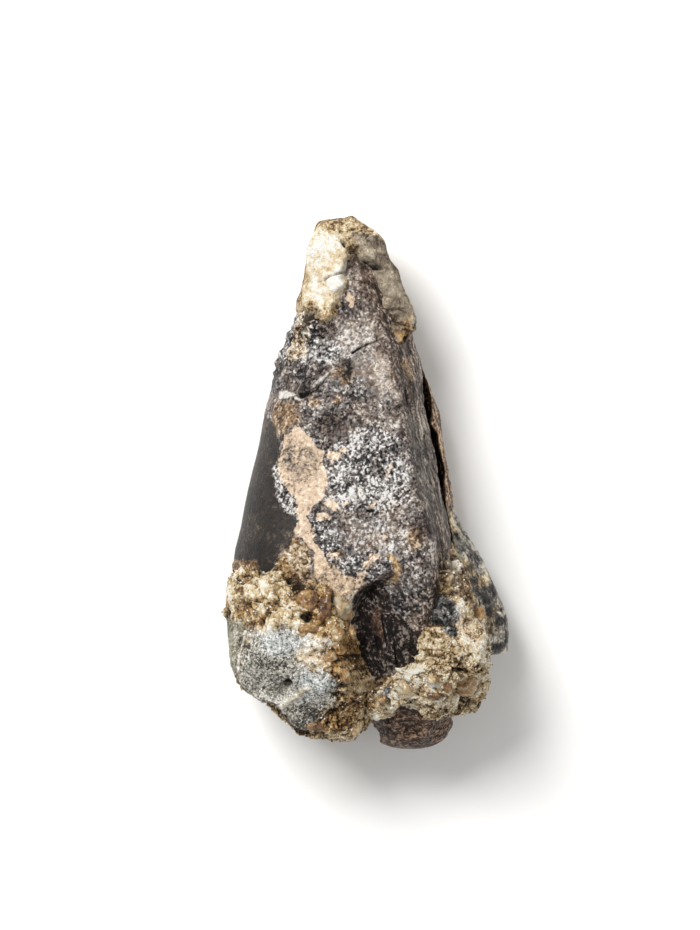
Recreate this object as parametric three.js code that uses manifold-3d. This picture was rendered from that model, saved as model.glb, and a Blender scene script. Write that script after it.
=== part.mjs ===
// A hadrosaur's tooth as it was dug out: a tapering grey crown on a striated brown root, the edge of the
// neighbouring tooth of the same battery beside it, and the sandstone that still holds both. The sandstone wraps
// the root in two broken blocks, backs the whole tooth and crusts its tip. It lies on its back.
// Millimetres. +Z is up, +Y runs from root to tip, and the origin is on the surface under the middle of its box.

import * as THREE from "three";
import { mergeVertices } from "three/addons/utils/BufferGeometryUtils.js";
import Module from "manifold-3d";

const wasm = await Module();
wasm.setup();

// Driving dimensions: the whole find is 53 long, 28.5 wide and about 20 high.
const ORIGIN_SHIFT = [0.07, 0.045, 0]; // puts the origin under the middle of the box
const JOINT_GAP = 0.35; // between the fossil and the stone round it
const CREVICE = 0.55; // the open crack between the tooth and its neighbour
const BURIED = 0.93; // where the front of the stone is broken away, it lies at this share of the tooth's radius
// How crisply the flat sides of a piece meet; a large number gives a sharp edge
const FOSSIL_SHARPNESS = 12;
const STONE_SHARPNESS = 44;

// How many columns go round a piece and how many rows run along it
const TOOTH_MESH = [36, 34];
const PLATE_MESH = [16, 20];
const BACK_MESH = [22, 16];
const BLOCK_MESH = [38, 24];
const TIP_MESH = [22, 14];
const ROW_INSET = 0.35; // how far the first and the last row are from the ends, in rows
const WELD = 1e-5; // points closer than this are one point

// The tooth at stations along it: its left side, the soft left edge of the front face, the ridge, the right side,
// the height of its underside and the height of the ridge.
const TOOTH = [
  { y: -26.6, left: 1.6, edge: 2.6, ridge: 5.0, right: 6.9, floor: 5.4, crest: 10.0 },
  { y: -23.5, left: -0.4, edge: 1.0, ridge: 5.4, right: 8.1, floor: 4.2, crest: 12.4 },
  { y: -20.0, left: -4.0, edge: -2.2, ridge: 5.0, right: 8.4, floor: 3.2, crest: 15.4 },
  { y: -16.0, left: -8.2, edge: -5.6, ridge: 5.0, right: 8.6, floor: 2.7, crest: 17.2 },
  { y: -12.0, left: -11.6, edge: -8.2, ridge: 5.6, right: 8.8, floor: 2.5, crest: 18.4 },
  { y: -8.0, left: -13.7, edge: -9.4, ridge: 6.1, right: 8.8, floor: 2.5, crest: 19.2 },
  { y: -4.0, left: -13.2, edge: -9.0, ridge: 5.8, right: 8.2, floor: 2.5, crest: 18.8 },
  { y: 1.0, left: -11.8, edge: -8.2, ridge: 4.9, right: 7.2, floor: 2.5, crest: 17.9 },
  { y: 7.0, left: -10.7, edge: -7.6, ridge: 3.7, right: 5.7, floor: 2.6, crest: 16.2 },
  { y: 13.0, left: -9.2, edge: -7.0, ridge: 2.2, right: 4.9, floor: 3.0, crest: 14.4 },
  { y: 18.0, left: -6.9, edge: -5.6, ridge: 0.2, right: 3.2, floor: 4.0, crest: 12.6 },
  { y: 22.0, left: -4.9, edge: -4.2, ridge: -1.4, right: 1.0, floor: 5.2, crest: 11.0 },
  { y: 25.2, left: -3.7, edge: -3.2, ridge: -2.2, right: -1.0, floor: 6.4, crest: 9.2 },
];
// The corners of its section as shares of its width and height: how far in the flat underside starts on either
// side, how high the left side and the right side begin and end, and where its middle is
const TOOTH_SHAPE = {
  underLeft: 0.2,
  underRight: 0.17,
  leftLow: 0.26,
  leftHigh: 0.56,
  leftTuck: 0.01,
  rightLow: 0.24,
  rightHigh: 0.66,
  rightTuck: 0.02,
  edgeHigh: 0.86,
  middle: 0.46,
};
const TOOTH_CAP = 1.6; // how far from its ends the tooth starts to round off
const TOOTH_ROLL = { size: 5, height: 0.32 };
const FRONT_FACING = [0.1, 0.7]; // the front's own relief fades in between these upward slopes

// The front of the root is a hollow below the crown's broken lower edge. Its rim lies between two shares of its
// size. Folds run along the root, four times as long as they are wide and half as wide across, from a height on.
const HOLLOW = { x: 1.7, y: -15.2, halfWidth: 4.6, halfLength: 6.6, depth: 1.9, lean: 0.12, rim: [0.72, 1.05] };
const FOLD = { width: 1.9, length: 7.6, across: 0.95, height: 0.35, from: [-8, -12] };
// The crack across the upper crown: a place on it, its slope, the drop above it, how far either side of it the
// drop takes, how far above it the crown is whole again, and how far it reaches to the right
const SCARP = { x: -8.4, y: 8.8, slope: 0.55, drop: 0.45, blend: 0.5, whole: [0.6, 5], right: [-3, -5] };
const CROWN_PIT = { x: -0.4, y: -2.9, radius: 1.1, depth: 0.7 };
const PIT_FLOOR = 0.3; // the share of a pit's radius that is level

// The neighbouring tooth's edge, a blade above and a flared plate below: its inner and outer sides, and the
// heights of its underside, its outer rim and its top.
const PLATE = [
  { y: -17.3, inner: 7.6, outer: 14.1, low: 3.6, rim: 6.2, high: 10.2 },
  { y: -14.0, inner: 7.0, outer: 14.0, low: 3.0, rim: 6.0, high: 11.4 },
  { y: -11.0, inner: 6.4, outer: 13.0, low: 3.0, rim: 5.6, high: 11.8 },
  { y: -7.5, inner: 5.8, outer: 11.3, low: 3.0, rim: 5.4, high: 11.4 },
  { y: -4.0, inner: 5.2, outer: 9.2, low: 3.0, rim: 5.2, high: 10.4 },
  { y: 0.0, inner: 4.6, outer: 8.2, low: 3.0, rim: 5.2, high: 9.6 },
  { y: 5.0, inner: 3.8, outer: 7.4, low: 3.2, rim: 5.4, high: 9.4 },
  { y: 9.0, inner: 2.8, outer: 6.4, low: 3.6, rim: 5.6, high: 9.2 },
  { y: 13.2, inner: 1.8, outer: 4.9, low: 4.4, rim: 6.0, high: 8.6 },
];
// The corners of its section: the shares of its width that the underside, the top's outer corner and the top's
// inner corner keep off its sides, and millimetres of rise above the underside, about the rim and below the top
const PLATE_SHAPE = {
  under: 0.18,
  underRise: 0.3,
  rimBelow: 0.9,
  rimAbove: 0.5,
  rimTuck: 0.02,
  shoulder: 0.42,
  shoulderHigh: 0.72,
  top: 0.12,
  topDrop: 0.8,
  middle: 0.8,
};
const PLATE_CAP = 0.7;
const PLATE_ROLL = { size: 3.5, height: 0.18 };

// The slab of stone under the tooth's back: its sides, its underside and how far up inside the tooth it starts
const BACK = [
  { y: -20.5, left: -6.0, right: 7.5, floor: 1.0, top: 6.0 },
  { y: -15.0, left: -9.2, right: 9.0, floor: -0.6, top: 6.0 },
  { y: -8.0, left: -10.8, right: 8.8, floor: -1.1, top: 6.0 },
  { y: 0.0, left: -10.0, right: 7.0, floor: -1.0, top: 6.0 },
  { y: 6.0, left: -8.8, right: 5.4, floor: -0.2, top: 6.0 },
  { y: 12.0, left: -7.4, right: 3.8, floor: 0.9, top: 6.0 },
  { y: 17.5, left: -5.8, right: 1.8, floor: 2.0, top: 6.4 },
];
const BACK_SHAPE = { under: 0.16, side: 1.9, top: 0.1, middle: 0.45 }; // its corners, like those of the tooth
const BACK_CAP = 3;
const BACK_ROLL = { size: 3.2, height: 0.6 };

// The broken blocks of stone. A face is [normal x, y, z, distance from the block's centre]. Chips are small
// extra faces that knock off corners at reach, a half-size in each direction.
const LEFT_BLOCK = {
  centre: [-6.5, -15.5, 9.5],
  faces: [
    [-1, 0.04, 0.05, 7.35], // left side
    [-0.95, -0.31, 0, 7.5],
    [-0.64, -0.77, 0, 7.15],
    [-0.25, -0.97, 0, 9.0], // root end
    [0.1, -0.99, 0, 10.7],
    [0.75, -0.66, 0, 10.1],
    [1, 0, 0.1, 8.4], // towards the right block
    [-0.12, -0.3, 0.95, 9.4], // grey front face
    [-0.08, 0.42, 0.9, 10.2], // cream face that rises to the crown
    [-0.74, -0.08, 0.67, 9.1], // pale bevel down the left side
    [-0.42, -0.62, 0.66, 8.7],
    [0.1, -0.78, 0.62, 9.3],
    [0, 1, 0, 9.2],
    [0, 0, -1, 8.7], // underside
    [-0.66, 0, -0.75, 8.2],
    [-0.2, -0.72, -0.66, 8.2],
  ],
  chips: 26,
  reach: [8.6, 10.6, 9.6],
  seed: 3,
};
const RIGHT_BLOCK = {
  centre: [4.5, -15, 9],
  faces: [
    [1, 0, 0, 7.1], // right side
    [0.956, 0.295, 0, 6.4],
    [0.05, -1, 0, 7.9], // root end
    [-0.1, -0.8, 0.6, 9.0],
    [0.15, -0.05, 0.98, 9.7], // front face
    [0.22, 0.42, 0.88, 10.7],
    [0.62, 0.08, 0.78, 9.0],
    [0.1, -0.5, 0.86, 9.6],
    [0, 1, 0, 9.4],
    [-1, 0, 0, 7.0], // towards the left block
    [0, 0, -1, 8.2], // underside
    [0.62, 0, -0.78, 7.6],
    [0, -0.72, -0.7, 7.4],
  ],
  chips: 26,
  reach: [8.4, 9.2, 9.8],
  seed: 11,
};
const TIP_CRUST = {
  centre: [-1.6, 19, 7.6],
  faces: [
    [-0.18, 0.98, 0, 7.35], // broken end
    [0.4, 0.9, 0, 7.0],
    [0.74, 0.67, 0, 5.8],
    [0.935, 0.355, 0, 4.6], // right side
    [-0.97, 0.23, 0, 5.6], // left side
    [-0.93, 0.37, 0, 5.5],
    [-1, -0.1, 0.1, 5.8],
    [-0.45, 0.22, 0.87, 5.3],
    [0, 0.55, 0.84, 5.5],
    [0.55, 0.25, 0.8, 5.0],
    [0, -1, 0, 6.5],
    [0, 0.1, -1, 6.0], // underside
    [0.5, 0.5, -0.7, 5.2],
    [-0.6, 0.3, -0.72, 5.4],
  ],
  chips: 10,
  reach: [5.9, 7.6, 5.4],
  seed: 23,
};
const BLOCK_ROLL = { size: 3.4, height: 0.5 };
const BLOCK_LUMP = { size: 1.5, height: 0.28 };
const STONE_PIT = { x: -8.1, y: -19.9, radius: 1.2, depth: 1.1, facing: [0.4, 0.8] };
const CHIP_DEPTH = [0.9, 1.12]; // a chip's face lies between these shares of the reach

// Where the front of the tooth shows through the stone, seen from above
const CROWN_SHOWS = [
  [-16, -5.8], [-12.6, -6.9], [-11.1, -7.2], [-10.5, -8.6], [-9.5, -8.4], [-8.9, -7.6], [-7.4, -7.2],
  [-6.4, -8.9], [-4.2, -9.8], [-2.2, -10.9], [-2.5, -14.4], [-2.7, -17.6], [-1.5, -20.8], [0.6, -20.0],
  [3.0, -19.0], [6.1, -17.4], [6.0, -14.8], [4.6, -12.9], [6.2, -12.9], [7.6, -11.0], [6.6, -8.6],
  [6.4, -5.6], [8.6, -2.0],
  [16, 0], [16, 13.2], [3.0, 13.8], [2.5, 17.0], [1.4, 20.2], [0.4, 21.6], [-1.1, 23.2], [-1.9, 23.2],
  [-2.4, 20.6], [-3.0, 17.9], [-4.9, 15.8], [-7.0, 15.2], [-9.2, 14.4], [-16, 13.0],
];
const SHOWS_BLEND = 1.0; // how far either side of that outline the stone slopes down
const FRONT_FROM = [6.5, 9.5]; // the stone is whole below the first height and broken away above the second

// Colours of the sub-parts
const TOOTH_COLOUR = "#6f6a66";
const STONE_COLOUR = "#a8977b";
const PLATE_COLOUR = "#665d55";

// Shared shaping
const clamp01 = (t) => Math.min(1, Math.max(0, t));
const mix = (a, b, t) => a + (b - a) * t;
const ease = (low, high, value) => {
  const t = clamp01((value - low) / (high - low));
  return t * t * (3 - 2 * t);
};

// A number from 0 to 1 that belongs to a whole-number place
function scatter(i, j, k) {
  const s = Math.sin(i * 127.1 + j * 311.7 + k * 74.7) * 43758.5453;
  return s - Math.floor(s);
}

// Smooth noise from -1 to 1 that changes over about one unit
function lump(x, y, z) {
  const [i, j, k] = [Math.floor(x), Math.floor(y), Math.floor(z)];
  const soft = (t) => t * t * (3 - 2 * t);
  const [u, v, w] = [soft(x - i), soft(y - j), soft(z - k)];
  const row = (b, c) => mix(scatter(i, j + b, k + c), scatter(i + 1, j + b, k + c), u);
  return 2 * mix(mix(row(0, 0), row(1, 0), v), mix(row(0, 1), row(1, 1), v), w) - 1;
}

// The station values at one place along a piece, on a smooth curve through the stations
function along(stations, y) {
  let n = 0;
  while (n < stations.length - 2 && y > stations[n + 1].y) n += 1;
  const [p, q] = [stations[n], stations[n + 1]];
  const before = stations[Math.max(0, n - 1)];
  const after = stations[Math.min(stations.length - 1, n + 2)];
  const span = q.y - p.y;
  const t = clamp01((y - p.y) / span);
  const result = { y };
  for (const key of Object.keys(p)) {
    if (key === "y") continue;
    const slopeP = (q[key] - before[key]) / (q.y - before.y);
    const slopeQ = (after[key] - p[key]) / (after.y - p.y);
    const [t2, t3] = [t * t, t * t * t];
    result[key] =
      (2 * t3 - 3 * t2 + 1) * p[key] +
      (t3 - 2 * t2 + t) * span * slopeP +
      (3 * t2 - 2 * t3) * q[key] +
      (t3 - t2) * span * slopeQ;
  }
  return result;
}

// How far a many-sided section reaches from its centre in one direction, with its corners softened
function sectionReach(corners, centre, direction) {
  let sum = 0;
  for (let n = 0; n < corners.length; n++) {
    const [ax, az] = corners[n];
    const [bx, bz] = corners[(n + 1) % corners.length];
    const length = Math.hypot(bx - ax, bz - az);
    const normal = [(bz - az) / length, (ax - bx) / length];
    const offset = (ax - centre[0]) * normal[0] + (az - centre[1]) * normal[1];
    const facing = direction[0] * normal[0] + direction[1] * normal[1];
    if (facing > 0) sum += (facing / offset) ** FOSSIL_SHARPNESS;
  }
  return sum ** (-1 / FOSSIL_SHARPNESS);
}

// How much of its full size a piece keeps near one of its ends
function capShare(distance, cap) {
  return (1 - (1 - clamp01(distance / cap)) ** 3) ** (1 / 3);
}

// A closed skin over rings of points, with one point at each end
function skin(rings, first, last) {
  const points = [first, ...rings.flat(), last];
  const columns = rings[0].length;
  const faces = [];
  const at = (row, column) => 1 + row * columns + ((column + columns) % columns);
  for (let column = 0; column < columns; column++) {
    faces.push(0, at(0, column), at(0, column + 1));
    faces.push(points.length - 1, at(rings.length - 1, column + 1), at(rings.length - 1, column));
    for (let row = 0; row < rings.length - 1; row++) {
      faces.push(at(row, column), at(row + 1, column + 1), at(row, column + 1));
      faces.push(at(row, column), at(row + 1, column), at(row + 1, column + 1));
    }
  }
  const geometry = new THREE.BufferGeometry();
  geometry.setAttribute("position", new THREE.Float32BufferAttribute(points.flat(), 3));
  geometry.setIndex(faces);
  return geometry;
}

// A piece swept along Y from a section that changes on the way
function sweep(stations, mesh, cap, section, relief, grow) {
  const [columns, rows] = mesh;
  const from = stations[0].y - grow;
  const to = stations[stations.length - 1].y + grow;
  const rings = [];
  for (let row = 0; row < rows; row++) {
    const t = (row + ROW_INSET) / (rows - 1 + 2 * ROW_INSET);
    const y = mix(from, to, t);
    const { corners, centre } = section(along(stations, y));
    const share = capShare(Math.min(y - from, to - y), cap);
    const ring = [];
    for (let column = 0; column < columns; column++) {
      const turn = (2 * Math.PI * column) / columns;
      const direction = [Math.cos(turn), Math.sin(turn)];
      const plain = sectionReach(corners, centre, direction);
      const x = centre[0] + direction[0] * plain;
      const z = centre[1] + direction[1] * plain;
      const reach = (plain + relief(x, y, z, direction) + grow) * share;
      ring.push([centre[0] + direction[0] * reach, y, centre[1] + direction[1] * reach]);
    }
    rings.push(ring);
  }
  const ends = [from, to].map((y) => {
    const { centre } = section(along(stations, y));
    return [centre[0], y, centre[1]];
  });
  return skin(rings, ends[0], ends[1]);
}

// How far inside an outline a point is; outside it the number is negative
function insideBy(outline, x, y) {
  let inside = false;
  let nearest = Infinity;
  for (let n = 0; n < outline.length; n++) {
    const [ax, ay] = outline[n];
    const [bx, by] = outline[(n + 1) % outline.length];
    const t = clamp01(((x - ax) * (bx - ax) + (y - ay) * (by - ay)) / ((bx - ax) ** 2 + (by - ay) ** 2));
    nearest = Math.min(nearest, Math.hypot(x - mix(ax, bx, t), y - mix(ay, by, t)));
    if (ay > y !== by > y && x < ax + ((y - ay) * (bx - ax)) / (by - ay)) inside = !inside;
  }
  return inside ? nearest : -nearest;
}

// A round dimple seen from above, 1 in its middle and 0 outside it
function dimple(pit, x, y) {
  return 1 - ease(PIT_FLOOR, 1, Math.hypot(x - pit.x, y - pit.y) / pit.radius);
}

// The tooth
function toothSection(s) {
  const across = (share) => mix(s.left, s.right, share);
  const up = (share) => mix(s.floor, s.crest, share);
  const corners = [
    [across(TOOTH_SHAPE.underLeft), s.floor],
    [across(1 - TOOTH_SHAPE.underRight), s.floor],
    [s.right, up(TOOTH_SHAPE.rightLow)],
    [across(1 - TOOTH_SHAPE.rightTuck), up(TOOTH_SHAPE.rightHigh)],
    [s.ridge, s.crest],
    [s.edge, up(TOOTH_SHAPE.edgeHigh)],
    [s.left, up(TOOTH_SHAPE.leftHigh)],
    [across(TOOTH_SHAPE.leftTuck), up(TOOTH_SHAPE.leftLow)],
  ];
  return { corners, centre: [across(0.5), up(TOOTH_SHAPE.middle)] };
}
function toothRelief(x, y, z, direction) {
  const front = ease(...FRONT_FACING, direction[1]);
  const roll = TOOTH_ROLL.height * lump(x / TOOTH_ROLL.size, y / TOOTH_ROLL.size, z / TOOTH_ROLL.size);
  const away = Math.hypot(
    (x - HOLLOW.x - HOLLOW.lean * (y - HOLLOW.y)) / HOLLOW.halfWidth,
    (y - HOLLOW.y) / HOLLOW.halfLength,
  );
  const hollow = (1 - ease(...HOLLOW.rim, away)) * front;
  const fold = FOLD.height * lump(x / FOLD.across, y / FOLD.length, z / FOLD.width) * ease(...FOLD.from, y);
  const above = y - SCARP.y - (x - SCARP.x) * SCARP.slope;
  const broken = ease(-SCARP.blend, SCARP.blend, above) * (1 - ease(...SCARP.whole, above));
  const scarp = broken * ease(...SCARP.right, x);
  const pit = CROWN_PIT.depth * dimple(CROWN_PIT, x, y);
  return roll + fold - HOLLOW.depth * hollow - (SCARP.drop * scarp + pit) * front;
}
const grownTooth = (grow) => sweep(TOOTH, TOOTH_MESH, TOOTH_CAP, toothSection, toothRelief, grow);

// The neighbouring tooth's edge
function plateSection(s) {
  const across = (share) => mix(s.inner, s.outer, share);
  const corners = [
    [s.inner, s.low],
    [across(1 - PLATE_SHAPE.under), s.low + PLATE_SHAPE.underRise],
    [s.outer, s.rim - PLATE_SHAPE.rimBelow],
    [across(1 - PLATE_SHAPE.rimTuck), s.rim + PLATE_SHAPE.rimAbove],
    [across(1 - PLATE_SHAPE.shoulder), mix(s.rim, s.high, PLATE_SHAPE.shoulderHigh)],
    [across(PLATE_SHAPE.top), s.high],
    [s.inner, s.high - PLATE_SHAPE.topDrop],
  ];
  return { corners, centre: [across(0.5), mix(s.low, s.rim, PLATE_SHAPE.middle)] };
}
function plateRelief(x, y, z) {
  return PLATE_ROLL.height * lump(x / PLATE_ROLL.size, y / PLATE_ROLL.size, z / PLATE_ROLL.size);
}
const grownPlate = (grow) => sweep(PLATE, PLATE_MESH, PLATE_CAP, plateSection, plateRelief, grow);

// The stone
function backSection(s) {
  const across = (share) => mix(s.left, s.right, share);
  const corners = [
    [across(BACK_SHAPE.under), s.floor],
    [across(1 - BACK_SHAPE.under), s.floor],
    [s.right, s.floor + BACK_SHAPE.side],
    [across(1 - BACK_SHAPE.top), s.top],
    [across(BACK_SHAPE.top), s.top],
    [s.left, s.floor + BACK_SHAPE.side],
  ];
  return { corners, centre: [across(0.5), mix(s.floor, s.top, BACK_SHAPE.middle)] };
}
function backRelief(x, y, z) {
  return BACK_ROLL.height * lump(x / BACK_ROLL.size, y / BACK_ROLL.size, z / BACK_ROLL.size);
}

// Flattens the lowest part of a piece, so that it has a face to lie on
function restFlat(geometry) {
  const place = geometry.attributes.position;
  for (let n = 0; n < place.count; n++) place.setZ(n, Math.max(0, place.getZ(n)));
  return geometry;
}

// Where the front of the stone is broken away, brings a point down under the tooth's own surface
function breakAway([x, y, z]) {
  const shows = ease(-SHOWS_BLEND, SHOWS_BLEND, insideBy(CROWN_SHOWS, x, y));
  const front = ease(...FRONT_FROM, z);
  const onTooth = y > TOOTH[0].y && y < TOOTH[TOOTH.length - 1].y;
  if (shows * front === 0 || !onTooth) return [x, y, z];
  const { corners, centre } = toothSection(along(TOOTH, y));
  const away = Math.hypot(x - centre[0], z - centre[1]);
  const direction = [(x - centre[0]) / away, (z - centre[1]) / away];
  const plain = sectionReach(corners, centre, direction);
  const [sx, sz] = [centre[0] + direction[0] * plain, centre[1] + direction[1] * plain];
  const surface = plain + toothRelief(sx, y, sz, direction);
  const target = mix(away, Math.min(away, BURIED * surface), shows * front);
  return [centre[0] + direction[0] * target, y, centre[1] + direction[1] * target];
}

// A broken block: rays from its centre stop at the nearest face or chip
function brokenBlock(block, mesh) {
  const faces = block.faces.map(([x, y, z, distance]) => {
    const length = Math.hypot(x, y, z);
    return [x / length, y / length, z / length, distance];
  });
  for (let n = 0; n < block.chips; n++) {
    const height = 2 * scatter(n, block.seed, 1) - 1;
    const turn = 2 * Math.PI * scatter(n, block.seed, 2);
    const flat = Math.sqrt(1 - height * height);
    const normal = [Math.cos(turn) * flat, Math.sin(turn) * flat, height];
    const reach = Math.hypot(...normal.map((part, axis) => part * block.reach[axis]));
    const share = mix(CHIP_DEPTH[0], CHIP_DEPTH[1], scatter(n, block.seed, 3));
    faces.push([...normal, reach * share]);
  }
  const place = (direction) => {
    let sum = 0;
    for (const [x, y, z, distance] of faces) {
      const facing = direction[0] * x + direction[1] * y + direction[2] * z;
      if (facing > 0) sum += (facing / distance) ** STONE_SHARPNESS;
    }
    let reach = sum ** (-1 / STONE_SHARPNESS);
    const point = direction.map((part, axis) => block.centre[axis] + part * reach);
    reach += BLOCK_ROLL.height * lump(...point.map((part) => part / BLOCK_ROLL.size));
    reach += BLOCK_LUMP.height * lump(...point.map((part) => part / BLOCK_LUMP.size));
    reach -= STONE_PIT.depth * dimple(STONE_PIT, point[0], point[1]) * ease(...STONE_PIT.facing, direction[2]);
    return breakAway(direction.map((part, axis) => block.centre[axis] + part * reach));
  };
  const [columns, rows] = mesh;
  const rings = [];
  for (let row = 1; row < rows; row++) {
    const fall = (Math.PI * row) / rows;
    const ring = [];
    for (let column = 0; column < columns; column++) {
      const turn = (2 * Math.PI * column) / columns;
      ring.push(place([Math.sin(fall) * Math.cos(turn), -Math.cos(fall), Math.sin(fall) * Math.sin(turn)]));
    }
    rings.push(ring);
  }
  return skin(rings, place([0, -1, 0]), place([0, 1, 0]));
}

// Between the drawing library's meshes and solids that can be cut
function toSolid(geometry) {
  geometry.deleteAttribute("normal");
  geometry.deleteAttribute("uv");
  const merged = mergeVertices(geometry, WELD);
  return new wasm.Manifold(
    new wasm.Mesh({
      numProp: 3,
      vertProperties: new Float32Array(merged.attributes.position.array),
      triVerts: new Uint32Array(merged.index.array),
    }),
  );
}
function largest(solid) {
  return solid.decompose().sort((a, b) => b.volume() - a.volume())[0];
}
function toMesh(solid, name, colour) {
  const { vertProperties, triVerts } = solid.getMesh();
  const geometry = new THREE.BufferGeometry();
  geometry.setAttribute("position", new THREE.BufferAttribute(new Float32Array(vertProperties), 3));
  geometry.setIndex(new THREE.BufferAttribute(new Uint32Array(triVerts), 1));
  geometry.computeVertexNormals();
  geometry.translate(...ORIGIN_SHIFT);
  const mesh = new THREE.Mesh(geometry, new THREE.MeshStandardMaterial({ color: colour, roughness: 0.8 }));
  mesh.name = name;
  return mesh;
}

const tooth = toSolid(grownTooth(0));
const sidePlate = largest(toSolid(grownPlate(0)).subtract(toSolid(grownTooth(CREVICE))));
const wholeStone = toSolid(restFlat(sweep(BACK, BACK_MESH, BACK_CAP, backSection, backRelief, 0)))
  .add(toSolid(brokenBlock(LEFT_BLOCK, BLOCK_MESH)))
  .add(toSolid(brokenBlock(RIGHT_BLOCK, BLOCK_MESH)))
  .add(toSolid(brokenBlock(TIP_CRUST, TIP_MESH)));
const stone = largest(wholeStone.subtract(toSolid(grownTooth(JOINT_GAP))).subtract(toSolid(grownPlate(JOINT_GAP))));

const group = new THREE.Group();
group.name = "fossil_hadrosaur_tooth";
group.add(toMesh(tooth, "tooth", TOOTH_COLOUR));
group.add(toMesh(sidePlate, "side_plate", PLATE_COLOUR));
group.add(toMesh(stone, "matrix", STONE_COLOUR));

export default group;
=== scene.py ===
import bpy
import numpy as np
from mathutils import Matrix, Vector


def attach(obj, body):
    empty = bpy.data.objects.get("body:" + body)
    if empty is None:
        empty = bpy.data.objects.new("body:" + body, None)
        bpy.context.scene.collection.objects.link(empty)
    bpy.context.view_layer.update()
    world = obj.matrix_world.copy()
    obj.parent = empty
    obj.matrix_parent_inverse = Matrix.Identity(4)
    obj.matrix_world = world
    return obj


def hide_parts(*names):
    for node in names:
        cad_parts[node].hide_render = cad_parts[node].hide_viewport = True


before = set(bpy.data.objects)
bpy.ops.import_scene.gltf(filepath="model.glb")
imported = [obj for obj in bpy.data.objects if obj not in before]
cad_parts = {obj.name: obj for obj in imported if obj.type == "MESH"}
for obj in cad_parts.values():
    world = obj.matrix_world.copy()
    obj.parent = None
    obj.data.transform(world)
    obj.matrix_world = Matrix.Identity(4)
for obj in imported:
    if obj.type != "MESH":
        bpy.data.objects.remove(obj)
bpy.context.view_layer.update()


# Camera
# The find is seen from straight above with a long lens, as a phone held over it and zoomed in would see it.
# One millimetre of the find is ten pixels of the picture at the height of its outline.
MM = 0.001
PICTURE_HEIGHT = 93 * MM
OUTLINE_HEIGHT = 8 * MM
PICTURE_CENTRE = (-1.83 * MM, 1.845 * MM)
LENS_MM = 180.0
SENSOR_MM = 36.0
camera_data = bpy.data.cameras.new("camera")
camera_data.lens = LENS_MM
camera_data.sensor_width = SENSOR_MM
camera_data.clip_start = 0.01
camera = bpy.data.objects.new("camera", camera_data)
camera.location = (*PICTURE_CENTRE, OUTLINE_HEIGHT + PICTURE_HEIGHT * LENS_MM / SENSOR_MM)
bpy.context.scene.collection.objects.link(camera)
bpy.context.scene.camera = camera


# Tooth
# One fossil tooth: a crown of grey enamel that tapers to the tip, and the brown root that it grew on. It is
# mineralised bone and enamel. The sandstone grips the root, and the front of the crown is weathered free.
ORIGIN_SHIFT = np.array([0.07, 0.045, 0.0])
TOOTH = {
    "y": [-26.6, -23.5, -20, -16, -12, -8, -4, 1, 7, 13, 18, 22, 25.2],
    "left": [1.6, -0.4, -4, -8.2, -11.6, -13.7, -13.2, -11.8, -10.7, -9.2, -6.9, -4.9, -3.7],
    "edge": [2.6, 1.0, -2.2, -5.6, -8.2, -9.4, -9.0, -8.2, -7.6, -7.0, -5.6, -4.2, -3.2],
    "ridge": [5.0, 5.4, 5.0, 5.0, 5.6, 6.1, 5.8, 4.9, 3.7, 2.2, 0.2, -1.4, -2.2],
    "right": [6.9, 8.1, 8.4, 8.6, 8.8, 8.8, 8.2, 7.2, 5.7, 4.9, 3.2, 1.0, -1.0],
    "floor": [5.4, 4.2, 3.2, 2.7, 2.5, 2.5, 2.5, 2.5, 2.6, 3.0, 4.0, 5.2, 6.4],
    "crest": [10.0, 12.4, 15.4, 17.2, 18.4, 19.2, 18.8, 17.9, 16.2, 14.4, 12.6, 11.0, 9.2],
}
TOOTH_CAP = 1.6
TOOTH_ROWS, TOOTH_COLUMNS = 440, 220
FRONT_CROWDING = 0.6
ROOT_STARTS = -16.5
SHARPNESS = 12
HOLLOW = {"x": 1.7, "y": -15.2, "half_width": 4.6, "half_length": 6.6, "depth": 1.9, "lean": 0.12}
SCARP = {"x": -8.4, "y": 8.8, "rise": 0.55, "drop": 0.45, "right": -3.0}
CROWN_PIT = {"x": -0.4, "y": -2.9, "radius": 1.1, "depth": 0.7}


def blob(x, y, half_width, half_length, turn=0):
    """An eight-sided patch round a place in mm: the corners of an ellipse, turned by degrees."""
    angle = np.arange(8) * np.pi / 4
    across, along_it = half_width * np.cos(angle), half_length * np.sin(angle)
    c, s = np.cos(np.radians(turn)), np.sin(np.radians(turn))
    return list(zip(x + c * across - s * along_it, y + s * across + c * along_it))


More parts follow.
